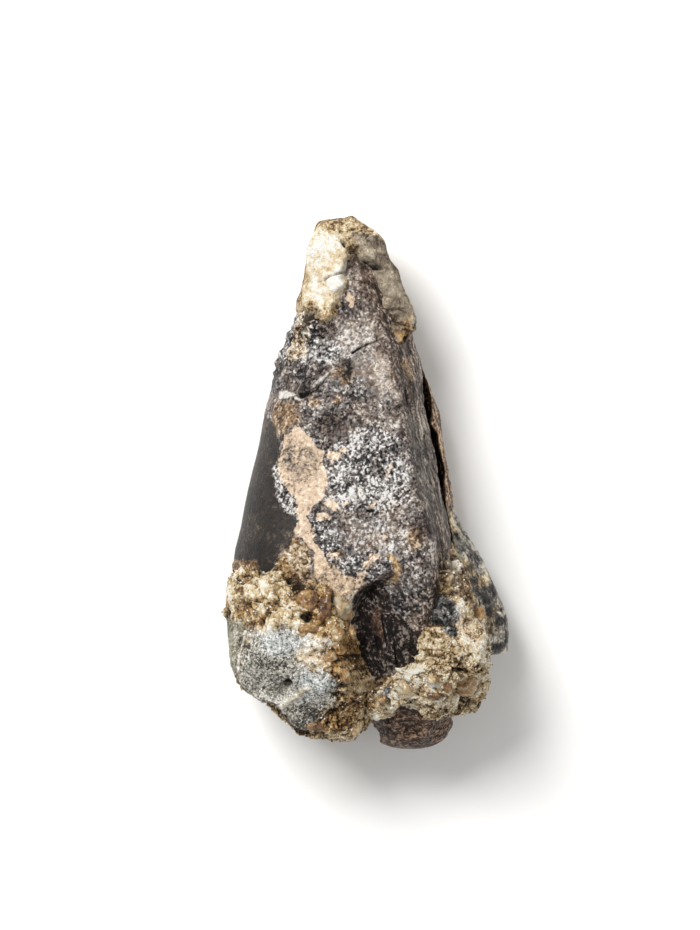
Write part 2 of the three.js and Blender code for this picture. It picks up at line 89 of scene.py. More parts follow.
# The crown's stains, as outlines in mm seen from above: first a thin tan skin and its speckled middle
TAN_SKIN = [
    [(-7.0, 5.6), (-6.1, 5.0), (-5.6, 4.2), (-5.1, 3.5), (-4.6, 3.0), (-4.5, 1.9), (-4.2, 0.8),
     (-4.1, -0.25), (-4.5, -0.9), (-4.6, -1.5), (-5.3, -2.1), (-6.1, -3.2), (-5.8, -4.0), (-5.4, -5.0),
     (-5.7, -5.6), (-5.0, -6.3), (-4.3, -7.2), (-3.7, -8.4), (-2.2, -9.0), (-1.2, -9.4), (-0.8, -10.1),
     (-2.4, -11.0), (-3.6, -10.6), (-5.2, -9.6), (-5.6, -7.7), (-5.5, -6.8), (-6.2, -5.9), (-7.4, -4.8),
     (-6.9, -3.7), (-7.2, -3.0), (-7.1, -2.2), (-7.9, -0.8), (-8.7, 0.5), (-8.9, 1.6), (-8.5, 3.6),
     (-8.3, 4.7)],
    [(-4.3, 2.7), (-4.0, 3.1), (-3.3, 3.2), (-2.3, 3.6), (-2.1, 3.3), (-2.9, 2.8), (-3.1, 2.4),
     (-3.8, 2.0)],
    [(1.45, 0.6), (1.7, 1.3), (2.2, 1.9), (2.4, 1.6), (2.0, 1.0), (1.7, 0.5)],
    [(-4.5, -1.9), (-3.6, -1.4), (-3.1, -2.0), (-3.1, -2.9), (-3.8, -2.7)],
    [(-5.4, -2.8), (-4.1, -2.9), (-4.0, -3.5), (-4.9, -3.7)],
    [(-0.5, -7.7), (0.1, -7.0), (1.0, -6.9), (1.1, -7.3), (0.3, -7.9), (-0.2, -8.5), (-0.6, -8.3)],
    [(-1.3, -8.8), (-0.5, -8.5), (0.0, -8.8), (-1.1, -9.4)], blob(3.4, 0.6, 0.2, 0.25),
    blob(-2.3, -2.0, 0.35, 0.15, 20), blob(-1.9, 18.3, 0.3, 0.9, 15), blob(1.6, -5.2, 0.3, 0.25),
    blob(-3.6, -7.0, 0.5, 0.2, 10), blob(0.2, -2.2, 0.2, 0.5, -40),
]
TAN_CORE = [
    [(-8.2, 3.4), (-7.4, 4.2), (-6.2, 3.9), (-5.4, 3.0), (-5.0, 1.8), (-5.3, 0.6), (-6.5, 0.2), (-7.7, 0.5),
     (-8.4, 1.9)],
]
TAN_LOW = [
    [(-5.4, -7.4), (-4.2, -7.6), (-2.6, -8.9), (-0.4, -9.8), (-2.0, -11.2), (-4.0, -10.8), (-5.8, -9.0)],
]
OCHRE_RIDGE = [
    [(1.7, -7.0), (2.4, -6.9), (2.8, -7.7), (3.2, -8.8), (3.2, -9.8), (2.8, -9.6), (2.5, -8.7),
     (2.1, -7.8)],
]
SMOOTH_BAND = [
    [(-16, 7.4), (-10.6, 7.0), (-9.2, 5.4), (-8.7, 3.8), (-8.9, 2.2), (-9.5, 1.2), (-9.1, -0.4),
     (-8.9, -1.8), (-8.3, -2.9), (-7.2, -3.2), (-6.9, -4.4), (-7.5, -5.2), (-7.9, -6.4), (-8.7, -6.9),
     (-9.0, -7.7), (-9.8, -8.9), (-10.6, -8.9), (-11.0, -7.6), (-12.4, -7.6), (-16, -7.5)],
]
SEAM_BROWN = [
    [(-16, -6.9), (-12.4, -7.3), (-10.8, -7.3), (-10.4, -8.6), (-9.4, -8.4), (-8.9, -7.4), (-8.2, -6.2),
     (-7.2, -5.2), (-6.2, -6.2), (-5.8, -8.4), (-6.6, -10.4), (-9.0, -11), (-16, -11)],
]
CREAM_CRUST = [
    [(-8.4, -6.6), (-7.8, -5.9), (-6.4, -5.8), (-5.7, -6.6), (-5.8, -8.0), (-6.2, -9.2), (-7.4, -8.8),
     (-8.0, -7.8)],
    [(-8.6, 15.4), (-7.2, 17.8), (-5.4, 17.4), (-5.6, 15.8), (-6.4, 13.6), (-6.6, 12.4), (-8.6, 12.2),
     (-9.2, 13.4)],
]
OCHRE = [
    [(-10.2, 8.1), (-8.4, 8.2), (-7.3, 7.9), (-6.9, 6.6), (-7.3, 5.6), (-8.8, 4.9), (-9.6, 3.4),
     (-10.1, 4.4)],
    blob(-6.1, 16.1, 0.45, 0.7, 10), blob(-6.9, 15.3, 0.3, 0.9, 25), blob(-7.4, 13.6, 0.5, 0.9, -20),
    blob(3.6, 14.6, 0.6, 0.8), blob(3.9, 11.4, 0.4, 1.1, 20), blob(-3.1, 10.9, 0.7, 0.35, 35),
    blob(-2.4, 10.2, 0.3, 0.4), blob(-3.0, 8.3, 0.35, 0.3), blob(-5.4, 7.9, 0.4, 0.25),
    blob(-3.4, -6.9, 0.7, 0.4, 20), blob(4.4, -5.6, 0.7, 1.1, 20),
]
CRUMBLY_EDGE = [
    [(-10.4, 10.8), (-9.8, 13.6), (-8.8, 16.4), (-7.0, 18.2), (-5.2, 17.6), (-4.8, 15.6), (-5.3, 13.2),
     (-6.0, 11.4), (-8.0, 10.6)],
]
MAUVE = [
    [(-7.9, -8.7), (-6.0, -8.8), (-4.6, -8.9), (-4.4, -9.8), (-5.0, -11.2), (-8.0, -11.4)],
]
BARK = [
    [(-1.4, -10.9), (-0.3, -10.2), (1.0, -9.6), (2.1, -9.4), (2.9, -10.7), (3.2, -12.6), (4.4, -13.3),
     (5.4, -14.6), (5.7, -16.6), (4.7, -17.9), (3.2, -18.3), (1.2, -18.9), (-1.0, -20.2), (-2.2, -18.4),
     (-2.0, -16.4), (-1.6, -15.2), (-1.9, -13.0)],
]
RED_RIDGE = [
    [(0.9, -12.4), (1.9, -12.2), (2.1, -14.6), (1.7, -16.2), (0.9, -15.4), (0.7, -13.8)],
]
FLANK_PALE = [
    [(4.4, 6.6), (5.6, 5.6), (6.6, 1.0), (7.2, -2.4), (6.4, -3.4), (5.6, -0.4), (4.9, 3.2)],
]
# Pale flakes, lumps and a white fleck, and the pale lining of the upper crack, which is a painted highlight
# on its lit lip.
PALE_FLAKES_AND_HIGHLIGHT = [
    [(-9.8, 9.3), (-9.4, 8.6), (-9.0, 8.3), (-7.6, 8.5), (-7.2, 8.8), (-7.6, 9.0), (-8.6, 9.1),
     (-9.3, 9.2)],
    [(-6.3, 9.0), (-5.5, 9.5), (-4.7, 10.2), (-4.1, 10.95), (-4.9, 10.35), (-5.7, 9.75)],
    [(-7.6, 8.4), (-7.0, 8.2), (-6.8, 8.35), (-7.3, 8.6)], blob(-6.7, 14.9, 0.25, 0.45),
    blob(-6.2, 16.9, 0.5, 0.2, 30), blob(-3.9, 12.0, 0.7, 0.2, -15), blob(-1.6, -1.3, 0.4, 0.95, 14),
    blob(-0.8, -1.0, 0.34, 0.8, 5), blob(-10.3, 10.7, 0.1, 0.8, -12),
]
# Cracks, a pit and the clefts of the bark, painted near black as the shade down in them; they are also sunk.
GAP_PAINTED_SHADE = [
    [(-7.3, 8.9), (-6.8, 8.9), (-6.6, 9.15), (-6.2, 8.9), (-6.3, 8.6), (-6.9, 8.3), (-7.2, 8.5)],
    [(-1.8, 12.85), (-0.7, 13.5), (0.4, 13.93), (1.5, 14.25), (0.4, 13.8), (-0.6, 13.36), (-1.6, 12.76)],
    [(-6.3, 8.8), (-5.6, 9.25), (-4.8, 9.98), (-3.9, 10.9), (-4.75, 9.84), (-5.5, 9.1)],
    blob(-4.8, 14.4, 0.2, 0.14), blob(-4.7, 17.9, 0.22, 0.16), blob(-4.9, 6.2, 0.1, 0.3, 40),
    blob(1.35, -15.8, 0.4, 0.8), blob(2.15, -14.2, 0.2, 1.7, 4), blob(3.35, -16.7, 0.12, 1.3, 2),
    blob(0.3, -2.7, 0.4, 0.16),
]
# How light and how contrasted the enamel's mottling is in places: light, contrast, softness in mm, outline
MOTTLE = [
    (0.17, 0.8, 0.9, [(-4.2, 4.8), (-2.2, 4.2), (-1.0, 5.2), (0.4, 6.0), (1.6, 5.4), (2.6, 3.4), (3.6, 0.8),
     (3.2, -1.6), (1.6, -2.6), (-0.8, -3.0), (-2.6, -2.2), (-3.9, -1.6), (-4.3, 1.8)]),
    (0.06, 0.4, 0.8, [(3.0, 4.6), (4.6, 1.6), (5.2, -3.0), (4.0, -3.4), (3.2, 0.8), (2.2, 4.0)]),
    (0.14, 0.8, 0.25, [(-9.6, 1.9), (-9.2, 2.1), (-8.8, 1.4), (-8.4, 0.5), (-7.6, -1.0), (-7.0, -2.4),
     (-7.2, -3.1), (-7.8, -3.0), (-8.5, -2.7), (-9.0, -1.7), (-8.9, -0.6), (-9.3, 0.4), (-9.5, 1.2)]),
    (0.0, 0.75, 0.3, [(-5.8, -3.4), (-4.4, -3.2), (-3.2, -4.5), (-2.8, -6.4), (-3.2, -7.6), (-1.4, -7.0),
     (1.4, -6.4), (2.2, -7.2), (1.6, -8.8), (0.2, -10.1), (-1.6, -9.2), (-4.0, -8.0), (-4.7, -6.4),
     (-5.6, -5.0)]),
    (0.2, 0.0, 0.8, [(-3.0, -3.6), (3.6, -2.8), (4.6, -6.2), (1.6, -6.6), (-1.4, -7.2), (-2.6, -5.6)]),
    (-0.08, -0.5, 0.3, [(-4.8, 5.2), (-3.9, 6.4), (-2.5, 6.6), (-1.8, 5.4), (-2.4, 4.2), (-3.8, 3.9)]),
    (0.24, -0.2, 0.7, [(-3.2, 16.2), (0.6, 16.4), (1.5, 14.4), (0.2, 13.8), (-1.6, 12.8), (-2.9, 12.2),
     (-3.4, 14.0)]),
    (-0.12, 0.1, 0.5, [(-5.2, 15.8), (-3.4, 15.8), (-3.4, 14.2), (-5.0, 14.2)]),
    (0.1, 0.7, 0.4, [(-5.5, 14.4), (-3.6, 14.0), (-3.0, 12.2), (-3.6, 11.5), (-5.2, 12.4)]),
    (0.16, -0.5, 0.6, [(-1.8, 12.6), (1.2, 13.2), (2.0, 11.6), (2.6, 9.0), (1.0, 7.8), (-0.4, 9.4),
     (-1.4, 10.6)]),
    (0.1, 0.5, 0.3, blob(-0.9, 9.5, 0.7, 1.1)),
    (-0.16, -0.2, 0.3, [(-2.9, 12.0), (-1.8, 12.0), (-1.7, 10.2), (-2.9, 10.4)]),
    (-0.14, 0.2, 0.6, [(-9.8, 12.4), (-5.0, 12.2), (-4.4, 10.8), (-6.6, 9.3), (-10.2, 9.4)]),
    (-0.03, 0.2, 0.8, [(-10.0, 8.2), (-1.0, 9.4), (-0.6, 7.0), (-4.0, 5.0), (-9.0, 6.0)]),
    (-0.04, -0.6, 0.5, [(-1.8, 23.6), (-0.9, 23.6), (0.2, 21.6), (1.2, 20.0), (1.4, 17.2), (0.2, 18.2),
     (-0.8, 20.0), (-2.2, 21.6)]),
    (-0.12, -0.1, 0.6, [(-3.2, 18.0), (-0.4, 18.0), (0.0, 16.6), (-3.4, 16.6)]),
    (0.0, 0.9, 0.4, [(-7.0, 18.2), (-4.8, 16.8), (-5.6, 13.2), (-7.0, 11.8), (-9.4, 12.0), (-8.8, 15.4)]),
    (0.26, 0.5, 0.6, [(3.0, -4.6), (6.4, -5.6), (7.2, -9.4), (4.4, -9.8)]),
    (-0.17, 0.7, 0.35, [(3.2, -11.0), (4.6, -10.4), (6.7, -9.3), (6.8, -10.6), (5.6, -12.6), (4.2, -13.4),
     (3.3, -12.6)]),
    (0.04, 0.2, 0.5, [(-2.4, -10.6), (0.8, -9.8), (4.4, -12.0), (6.0, -16), (1, -20), (-2.4, -20)]),
]


def ease(low, high, value):
    """Rises smoothly from 0 to 1 as the value goes from low to high: 3t^2 - 2t^3 of its share of the way."""
    t = np.clip((value - low) / (high - low), 0, 1)
    return t * t * (3 - 2 * t)


def scatter(i, j, k):
    """A number from 0 to 1 for each whole-number place: the fraction of a large multiple of a sine."""
    s = np.sin(i * 127.1 + j * 311.7 + k * 74.7) * 43758.5453
    return s - np.floor(s)


def lump(x, y, z):
    """Smooth noise from -1 to 1: the scatter of the eight whole-number corners round a point, blended."""
    i, j, k = np.floor(x), np.floor(y), np.floor(z)
    u, v, w = (t * t * (3 - 2 * t) for t in (x - i, y - j, z - k))

    def row(b, c):
        near, far = scatter(i, j + b, k + c), scatter(i + 1, j + b, k + c)
        return near + (far - near) * u

    front = row(0, 0) + (row(1, 0) - row(0, 0)) * v
    back = row(0, 1) + (row(1, 1) - row(0, 1)) * v
    return 2 * (front + (back - front) * w) - 1


def rubble(x, y, z, size, layers):
    """Lumps of one size in mm with finer layers on them, each half as large and 0.6 as high as the last."""
    total = 0
    for layer in range(layers):
        step = size / 2**layer
        total = total + 0.6**layer * lump(x / step + 7 * layer, y / step, z / step)
    return total


def along(stations, y):
    """Station values at y: cubic Hermite curves, whose slope at a station is that between its neighbours."""
    known = np.array(stations["y"], float)
    n = np.clip(np.searchsorted(known, y, side="left") - 1, 0, len(known) - 2)
    before, after = np.maximum(n - 1, 0), np.minimum(n + 2, len(known) - 1)
    span = known[n + 1] - known[n]
    t = np.clip((y - known[n]) / span, 0, 1)
    values = {}
    for key, column in stations.items():
        v = np.array(column, float)
        slope_a = (v[n + 1] - v[before]) / (known[n + 1] - known[before])
        slope_b = (v[after] - v[n]) / (known[after] - known[n])
        values[key] = (
            (2 * t**3 - 3 * t**2 + 1) * v[n]
            + (t**3 - 2 * t**2 + t) * span * slope_a
            + (3 * t**2 - 2 * t**3) * v[n + 1]
            + (t**3 - t**2) * span * slope_b
        )
    return values


def section_reach(corners, centre, across, up):
    """Distance from the centre to a many-sided outline along (across, up): with p = sharpness, the sum over
    its sides of (facing / offset)^p, to the power -1/p, so that the sides' corners are rounded."""
    total = 0
    for (ax, az), (bx, bz) in zip(corners, corners[1:] + corners[:1]):
        length = np.hypot(bx - ax, bz - az)
        nx, nz = (bz - az) / length, (ax - bx) / length
        offset = (ax - centre[0]) * nx + (az - centre[1]) * nz
        total = total + (np.maximum(across * nx + up * nz, 0) / offset) ** SHARPNESS
    return total ** (-1 / SHARPNESS)


def rays_along(stations, section, rows, turn):
    """The rays of a swept piece, turned round the centre of its section in each row. Gives the station
    values, the centre, the rays' directions, how far each goes in the plain section, and where it ends."""
    start, end = stations["y"][0], stations["y"][-1]
    y = start + (end - start) * (np.arange(rows)[:, None] + 0.3) / (rows - 0.4)
    values = along(stations, y)
    corners, centre = section(values)
    across, up = np.cos(turn), np.sin(turn)
    plain = section_reach(corners, centre, across, up)
    place = centre[0] + across * plain, y + 0 * plain, centre[1] + up * plain
    return values, centre, across, up, plain, place


def cap_share(stations, y, cap):
    """The share of a section's size left near an end: a superellipse of power 3 over the cap's length."""
    distance = np.minimum(y - stations["y"][0], stations["y"][-1] - y)
    return (1 - (1 - np.clip(distance / cap, 0, 1)) ** 3) ** (1 / 3)


def inside_by(outlines, x, y):
    """Millimetres inside the nearest of several outlines, and negative outside: the distance to the closest
    side, signed by how many sides a line to the right crosses."""
    best = np.full(np.shape(x), -99.0)
    for outline in outlines:
        inside = np.zeros(np.shape(x), bool)
        nearest = np.full(np.shape(x), 99.0)
        for (ax, ay), (bx, by) in zip(outline, outline[1:] + outline[:1]):
            dx, dy = bx - ax, by - ay
            t = np.clip(((x - ax) * dx + (y - ay) * dy) / (dx**2 + dy**2), 0, 1)
            nearest = np.minimum(nearest, np.hypot(x - ax - dx * t, y - ay - dy * t))
            if dy != 0:
                inside ^= ((ay > y) != (by > y)) & (x < ax + (y - ay) * dx / dy)
        best = np.maximum(best, np.where(inside, nearest, -nearest))
    return best


def mottling(zones, x, y):
    """Two fields over the surface, how light and how contrasted it is: the sum over the zones of their
    amount times a share that rises over twice the zone's softness across its outline."""
    light, contrast = np.zeros(np.shape(x)), np.zeros(np.shape(x))
    for more_light, more_contrast, soft, outline in zones:
        share = ease(-soft, soft, inside_by([outline], x, y) + 0.5 * soft * lump(x / 0.6, y / 0.6, 0 * x))
        light = light + more_light * share
        contrast = contrast + more_contrast * share
    return light, contrast


def tooth_section(s):
    """The tooth's eight-sided section: flat underside, upright flanks, a soft left edge and the ridge."""
    width, height = s["right"] - s["left"], s["crest"] - s["floor"]
    corners = [
        (s["left"] + 0.2 * width, s["floor"]),
        (s["right"] - 0.17 * width, s["floor"]),
        (s["right"], s["floor"] + 0.24 * height),
        (s["right"] - 0.02 * width, s["floor"] + 0.66 * height),
        (s["ridge"], s["crest"]),
        (s["edge"], s["floor"] + 0.86 * height),
        (s["left"], s["floor"] + 0.56 * height),
        (s["left"] + 0.01 * width, s["floor"] + 0.26 * height),
    ]
    return corners, ((s["left"] + s["right"]) / 2, s["floor"] + 0.46 * height)


def tooth_form(x, y, z, up):
    """The tooth's broad relief in mm: 5 mm lumps, the hollow of the root with its long folds, the step at
    the crack across the upper crown, and a pit."""
    front = ease(0.1, 0.7, up)
    roll = 0.32 * lump(x / 5, y / 5, z / 5)
    away = np.hypot(
        (x - HOLLOW["x"] - HOLLOW["lean"] * (y - HOLLOW["y"])) / HOLLOW["half_width"],
        (y - HOLLOW["y"]) / HOLLOW["half_length"],
    )
    hollow = (1 - ease(0.72, 1.05, away)) * front
    fold = 0.35 * lump(x * 2 / 1.9, y / 7.6, z / 1.9) * ease(-8, -12, y)
    crack = y - SCARP["y"] - (x - SCARP["x"]) * SCARP["rise"]
    scarp = ease(-0.5, 0.5, crack) * (1 - ease(0.6, 5, crack)) * ease(SCARP["right"], SCARP["right"] - 2, x)
    pit = 1 - ease(0.3, 1, np.hypot(x - CROWN_PIT["x"], y - CROWN_PIT["y"]) / CROWN_PIT["radius"])
    return roll + fold - HOLLOW["depth"] * hollow - (SCARP["drop"] * scarp + CROWN_PIT["depth"] * pit) * front


def closed_skin(rows, first, last, fields=()):
    """Triangles over rows of points that close round, with one point before the first row and one after the
    last. Returns all the points, the triangles, which face outwards where the rows turn from +X to +Z along
    +Y, and the fields over the points. An end has the value of the row next to it."""
    count, columns = rows.shape[:2]
    points = np.concatenate([[first], rows.reshape(-1, 3), [last]])
    place = 1 + np.arange(count * columns).reshape(count, columns)
    here, beside = place, np.roll(place, -1, axis=1)
    a, b, c, d = here[:-1], beside[:-1], beside[1:], here[1:]
    faces = [np.stack([a, c, b], -1).reshape(-1, 3), np.stack([a, d, c], -1).reshape(-1, 3)]
    faces.append(np.stack([np.zeros(columns, int), here[0], beside[0]], -1))
    faces.append(np.stack([np.full(columns, len(points) - 1), beside[-1], here[-1]], -1))
    fields = {key: np.concatenate([[v[0, 0]], v.ravel(), [v[-1, 0]]]) for key, v in dict(fields).items()}
    return points, np.concatenate(faces), fields


def make_piece(name, points, faces, fields, slot, node, material):
    """A mesh in metres from points in mm, with a number per point for each field, tied to the frame."""
    mesh = bpy.data.meshes.new(name)
    mesh.from_pydata((points + ORIGIN_SHIFT) * MM, [], faces)
    mesh.polygons.foreach_set("use_smooth", np.ones(len(faces), bool))
    for field, values in fields.items():
        numbers = mesh.attributes.new(field, "FLOAT", "POINT").data
        numbers.foreach_set("value", values.astype(np.float32).ravel())
    mesh.materials.append(material)
    piece = bpy.data.objects.new(name, mesh)
    bpy.context.scene.collection.objects.link(piece)
    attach(piece, "root")
    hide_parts(node)
    return piece


def linear(hex_colour):
    """An sRGB hex colour as linear red, green, blue and full alpha."""
    parts = [int(hex_colour[n : n + 2], 16) / 255 for n in (1, 3, 5)]
    return (*(p / 12.92 if p <= 0.04045 else ((p + 0.055) / 1.055) ** 2.4 for p in parts), 1.0)


def add(tree, kind, settings=(), inputs=(), hexes=()):
    """One node of a material with its settings, and its inputs either linked to an output or set to a
    value. A ramp has evenly spaced stops, one for each hex colour."""
    node = tree.nodes.new("ShaderNode" + kind)
    for key, value in dict(settings).items():
        setattr(node, key, value)
    for key, value in dict(inputs).items():
        if isinstance(value, bpy.types.NodeSocket):
            tree.links.new(value, node.inputs[key])
        else:
            node.inputs[key].default_value = value
    for _ in hexes[2:]:
        node.color_ramp.elements.new(0.5)
    for n, hex_colour in enumerate(hexes):
        node.color_ramp.elements[n].position = n / (len(hexes) - 1)
        node.color_ramp.elements[n].color = linear(hex_colour)
    return node


FLECK_BEND = 0.8


def start_finish(name, fleck_mm, patterns):
    """An empty material, with the outputs of its patterns by name. A pattern is noise with lumps of a real
    size in mm, a roughness, a spread that becomes 0 to 1, a stretch along each axis and a turn in degrees.
    Flecks are the cells round seeds scattered fleck_mm apart, bent by noise: each has its own number, and
    is a dome."""
    material = bpy.data.materials.new(name)
    material.use_nodes = True
    tree = material.node_tree
    tree.nodes.clear()
    place = add(tree, "TexCoord").outputs["Object"]
    outputs = {}
    for n, (key, size, rough, spread, stretch, turn) in enumerate(patterns):
        apart, stretched = (0.03 * n, 0.01 * n, 0.02 * n), [size * MM * part for part in stretch]
        laid = {0: place, 1: apart, 2: (0, 0, np.radians(turn)), 3: stretched}
        spot = add(tree, "Mapping", {"vector_type": "TEXTURE"}, laid).outputs[0]
        noise = add(tree, "TexNoise", inputs={0: spot, "Scale": 1.0, "Detail": 4.0, "Roughness": rough})
        ends = {0: noise.outputs[0], 1: 0.5 - spread, 2: 0.5 + spread}
        outputs[key] = add(tree, "MapRange", inputs=ends).outputs[0]
    spot = add(tree, "Mapping", {"vector_type": "TEXTURE"}, {0: place, 3: [fleck_mm * MM] * 3}).outputs[0]
    bend = add(tree, "TexNoise", inputs={0: spot, "Scale": 1.3, "Detail": 3.0}).outputs["Color"]
    bent = {0: bend, 1: [FLECK_BEND] * 3, 2: spot}
    bent = add(tree, "VectorMath", {"operation": "MULTIPLY_ADD"}, bent).outputs[0]
    cell = add(tree, "TexVoronoi", inputs={"Vector": bent, "Scale": 1.0})
    outputs["fleck"] = add(tree, "MapRange", inputs={0: cell.outputs["Color"], 1: 0.2, 2: 0.8}).outputs[0]
    outputs["dome"] = add(tree, "MapRange", inputs={0: cell.outputs["Distance"], 3: 1.0, 4: 0.0}).outputs[0]
    return material, tree, outputs


def mottled(tree, parts, base_contrast):
    """The mottling signal: 0.5 plus the surface's light, plus the swing of the patterns times the surface's
    contrast. The swing is the sum of each pattern times its weight, less a half."""
    light = add(tree, "Attribute", {"attribute_name": "light"}).outputs["Fac"]
    contrast = add(tree, "Attribute", {"attribute_name": "contrast"}).outputs["Fac"]
    swing = -0.5
    for pattern, weight in parts:
        swing = {0: pattern, 1: weight, 2: swing}
        swing = add(tree, "Math", {"operation": "MULTIPLY_ADD"}, swing).outputs[0]
    gain = add(tree, "Math", {"operation": "ADD"}, {0: contrast, 1: base_contrast}).outputs[0]
    middle = add(tree, "Math", {"operation": "ADD"}, {0: light, 1: 0.5}).outputs[0]
    return add(tree, "Math", {"operation": "MULTIPLY_ADD"}, {0: swing, 1: gain, 2: middle}).outputs[0]


def stained(tree, colour, wander, stains):
    """Lays stains over a colour, one on the other. Each has a mask, its hexes, the signal that runs through
    them, how many mm its outline wanders by noise, how many mm its edge is soft over, and the most that it
    covers. Returns the colour and the share that each stain covers."""
    share = {}
    for mask, hexes, signal, ragged, soft, most in stains:
        inside = add(tree, "Attribute", {"attribute_name": mask}).outputs["Fac"]
        moved = {0: wander, 1: 2 * ragged, 2: inside}
        moved = add(tree, "Math", {"operation": "MULTIPLY_ADD"}, moved).outputs[0]
        ends = {0: moved, 1: ragged - soft, 2: ragged + soft, 4: most}
        share[mask] = add(tree, "MapRange", inputs=ends).outputs[0]
        stain = add(tree, "ValToRGB", inputs={0: signal}, hexes=hexes).outputs[0]
        colour = add(tree, "Mix", {"data_type": "RGBA"}, {0: share[mask], 6: colour, 7: stain}).outputs[2]
    return colour, share


def finish(tree, colour, roughness, bump_height, bump_mm, ior, shine=0.5, clear=0.0):
    """Ends a material in the shader: its colour, its roughness, its fine relief of bump_mm, its IOR, how
    much of its mirror gloss weathering has left (0.5 is all) and how much of the light goes through it."""
    bump = add(tree, "Bump", inputs={"Height": bump_height, "Strength": 1.0, "Distance": bump_mm * MM})
    surface = {"Base Color": colour, "Roughness": roughness, "Normal": bump.outputs[0], "IOR": ior}
    surface.update({"Specular IOR Level": shine, "Transmission Weight": clear})
    shader = add(tree, "BsdfPrincipled", inputs=surface)
    add(tree, "OutputMaterial", inputs={0: shader.outputs[0]})


# Weathered fossil enamel over brown dentine. Crazing gives it a fine mottling from black to silver, its
# whitest flecks white mineral and painted glints, and a thin tan skin is left in patches. It is low in gloss,
# and smoother in the dark band on the left.
enamel, tree, pattern = start_finish("weathered_fossil_enamel", 0.21, [
    ("speck", 0.5, 0.8, 0.12, (1, 1, 1), 0),
    ("fine", 0.16, 0.6, 0.2, (1, 1, 1), 0),
    ("cloud", 3.0, 0.7, 0.14, (1, 1, 1), 0),
    ("warmth", 2.6, 0.75, 0.13, (1, 1, 1), 0),
    ("streak", 0.45, 0.75, 0.15, (1, 9, 1), 6),
    ("across", 0.35, 0.75, 0.14, (14, 1, 1), 5),
    ("scratch", 0.3, 0.8, 0.14, (1, 14, 1), -52),
    ("edge", 1.0, 0.75, 0.25, (1, 1, 1), 0),
])
speck, fine, cloud, edge, fleck = (pattern[key] for key in ("speck", "fine", "cloud", "edge", "fleck"))
signal = mottled(tree, [(fleck, 0.38), (speck, 0.34), (cloud, 0.28)], 1.3)
# The palest stops of these ramps are partly painted glints.
GREYS = ["#0a0a0b", "#36363a", "#6f6a68", "#a8a09a", "#fbf9f7"]
BROWNS = ["#150e0a", "#43342a", "#7c695a", "#ac9a89", "#ece1d5"]
colour = add(tree, "ValToRGB", inputs={0: signal}, hexes=GREYS).outputs[0]
silver = add(tree, "Attribute", {"attribute_name": "contrast"}).outputs["Fac"]
silver = add(tree, "Math", {"operation": "MULTIPLY_ADD"}, {0: silver, 1: -0.9, 2: 0.95}).outputs[0]
warm = {0: pattern["warmth"], 1: silver}
warm = add(tree, "Math", {"operation": "MULTIPLY", "use_clamp": True}, warm).outputs[0]
brown = add(tree, "ValToRGB", inputs={0: signal}, hexes=BROWNS).outputs[0]
colour = add(tree, "Mix", {"data_type": "RGBA"}, {0: warm, 6: colour, 7: brown}).outputs[2]
streaky = mottled(tree, [(pattern["streak"], 0.55), (fleck, 0.25), (cloud, 0.2)], 1.75)
scratched = mottled(tree, [(pattern["scratch"], 0.3), (speck, 0.4), (cloud, 0.3)], 1.2)
grown = mottled(tree, [(pattern["across"], 0.4), (fleck, 0.3), (speck, 0.3)], 2.2)
fibrous = mottled(tree, [(fleck, 0.35), (speck, 0.35), (pattern["streak"], 0.3)], 1.5)
# Each stain: its mask, its colours from dark to light, its signal, its wander, its softness and its most
colour, share = stained(tree, colour, edge, [
    ("flank", ["#080504", "#2b1f18", "#5b4b40", "#957f70", "#e6d6c6"], streaky, 0.9, 1.1, 1.0),
    ("flank_pale", ["#2f2b25", "#645e54", "#918b7f", "#bab5a8", "#ebe8dd"], streaky, 0.6, 0.7, 0.5),
    ("root", ["#0c0705", "#2c1d14", "#4c3628", "#74563e", "#b0937a"], grown, 0.6, 0.6, 1.0),
    ("mauve", ["#241a17", "#4c3d36", "#6f5d53", "#94836f", "#cbb69b"], signal, 0.5, 0.25, 1.0),
    ("seam_brown", ["#1f150d", "#4f3a26", "#8b6b48", "#c19e6f", "#f1dfb4"], signal, 0.5, 0.15, 1.0),
    ("ochre", ["#20140b", "#533a23", "#8f6d47", "#c19a68", "#eedab5"], signal, 0.7, 0.35, 0.7),
    ("cream_crust", ["#1c130b", "#6d5339", "#bb9f7c", "#e6d2b4", "#fffbee"], signal, 0.6, 0.2, 0.9),
    ("smooth_band", ["#030202", "#120d0a", "#201812", "#33291f", "#746556"], scratched, 0.3, 0.08, 1.0),
    ("tan_skin", ["#756355", "#bea790", "#cfb79d", "#ddc6ad", "#f2e4d2"], signal, 0.34, 0.03, 1.0),
    ("tan_low", ["#3a322c", "#94826f", "#cbb093", "#e0c7a8", "#f3e0c4"], signal, 0.6, 0.3, 0.85),
    ("tan_core", ["#1c1815", "#5f554c", "#9c8b79", "#c5ad92", "#e3caab"], signal, 0.3, 0.45, 1.0),
    ("ochre_ridge", ["#3b2a19", "#8a6b47", "#c09c70", "#dcc096", "#f3dfba"], signal, 0.3, 0.12, 1.0),
    # The bark's palest flecks are painted glints, and its fold crests are painted lighter.
    ("bark", ["#020101", "#0d0908", "#231a15", "#382b24", "#9c9087"], fibrous, 0.35, 0.12, 1.0),
    ("red_ridge", ["#1a100c", "#3c2a21", "#5a4335", "#76594a", "#a08a76"], signal, 0.2, 0.15, 1.0),
    # Pale flakes, with the crack's painted highlight.
    ("pale_lip", ["#918c82", "#c9c3b8", "#e8e3d9", "#f5f1ea", "#ffffff"], signal, 0.22, 0.05, 1.0),
    # The gaps: painted shade, near black.
    ("black_gap", ["#030202", "#060505", "#0c0a09", "#161210", "#2a2420"], signal, 0.06, 0.04, 1.0),
])
raised = add(tree, "Math", {"operation": "MULTIPLY_ADD"}, {0: speck, 1: 1.0, 2: fine}).outputs[0]
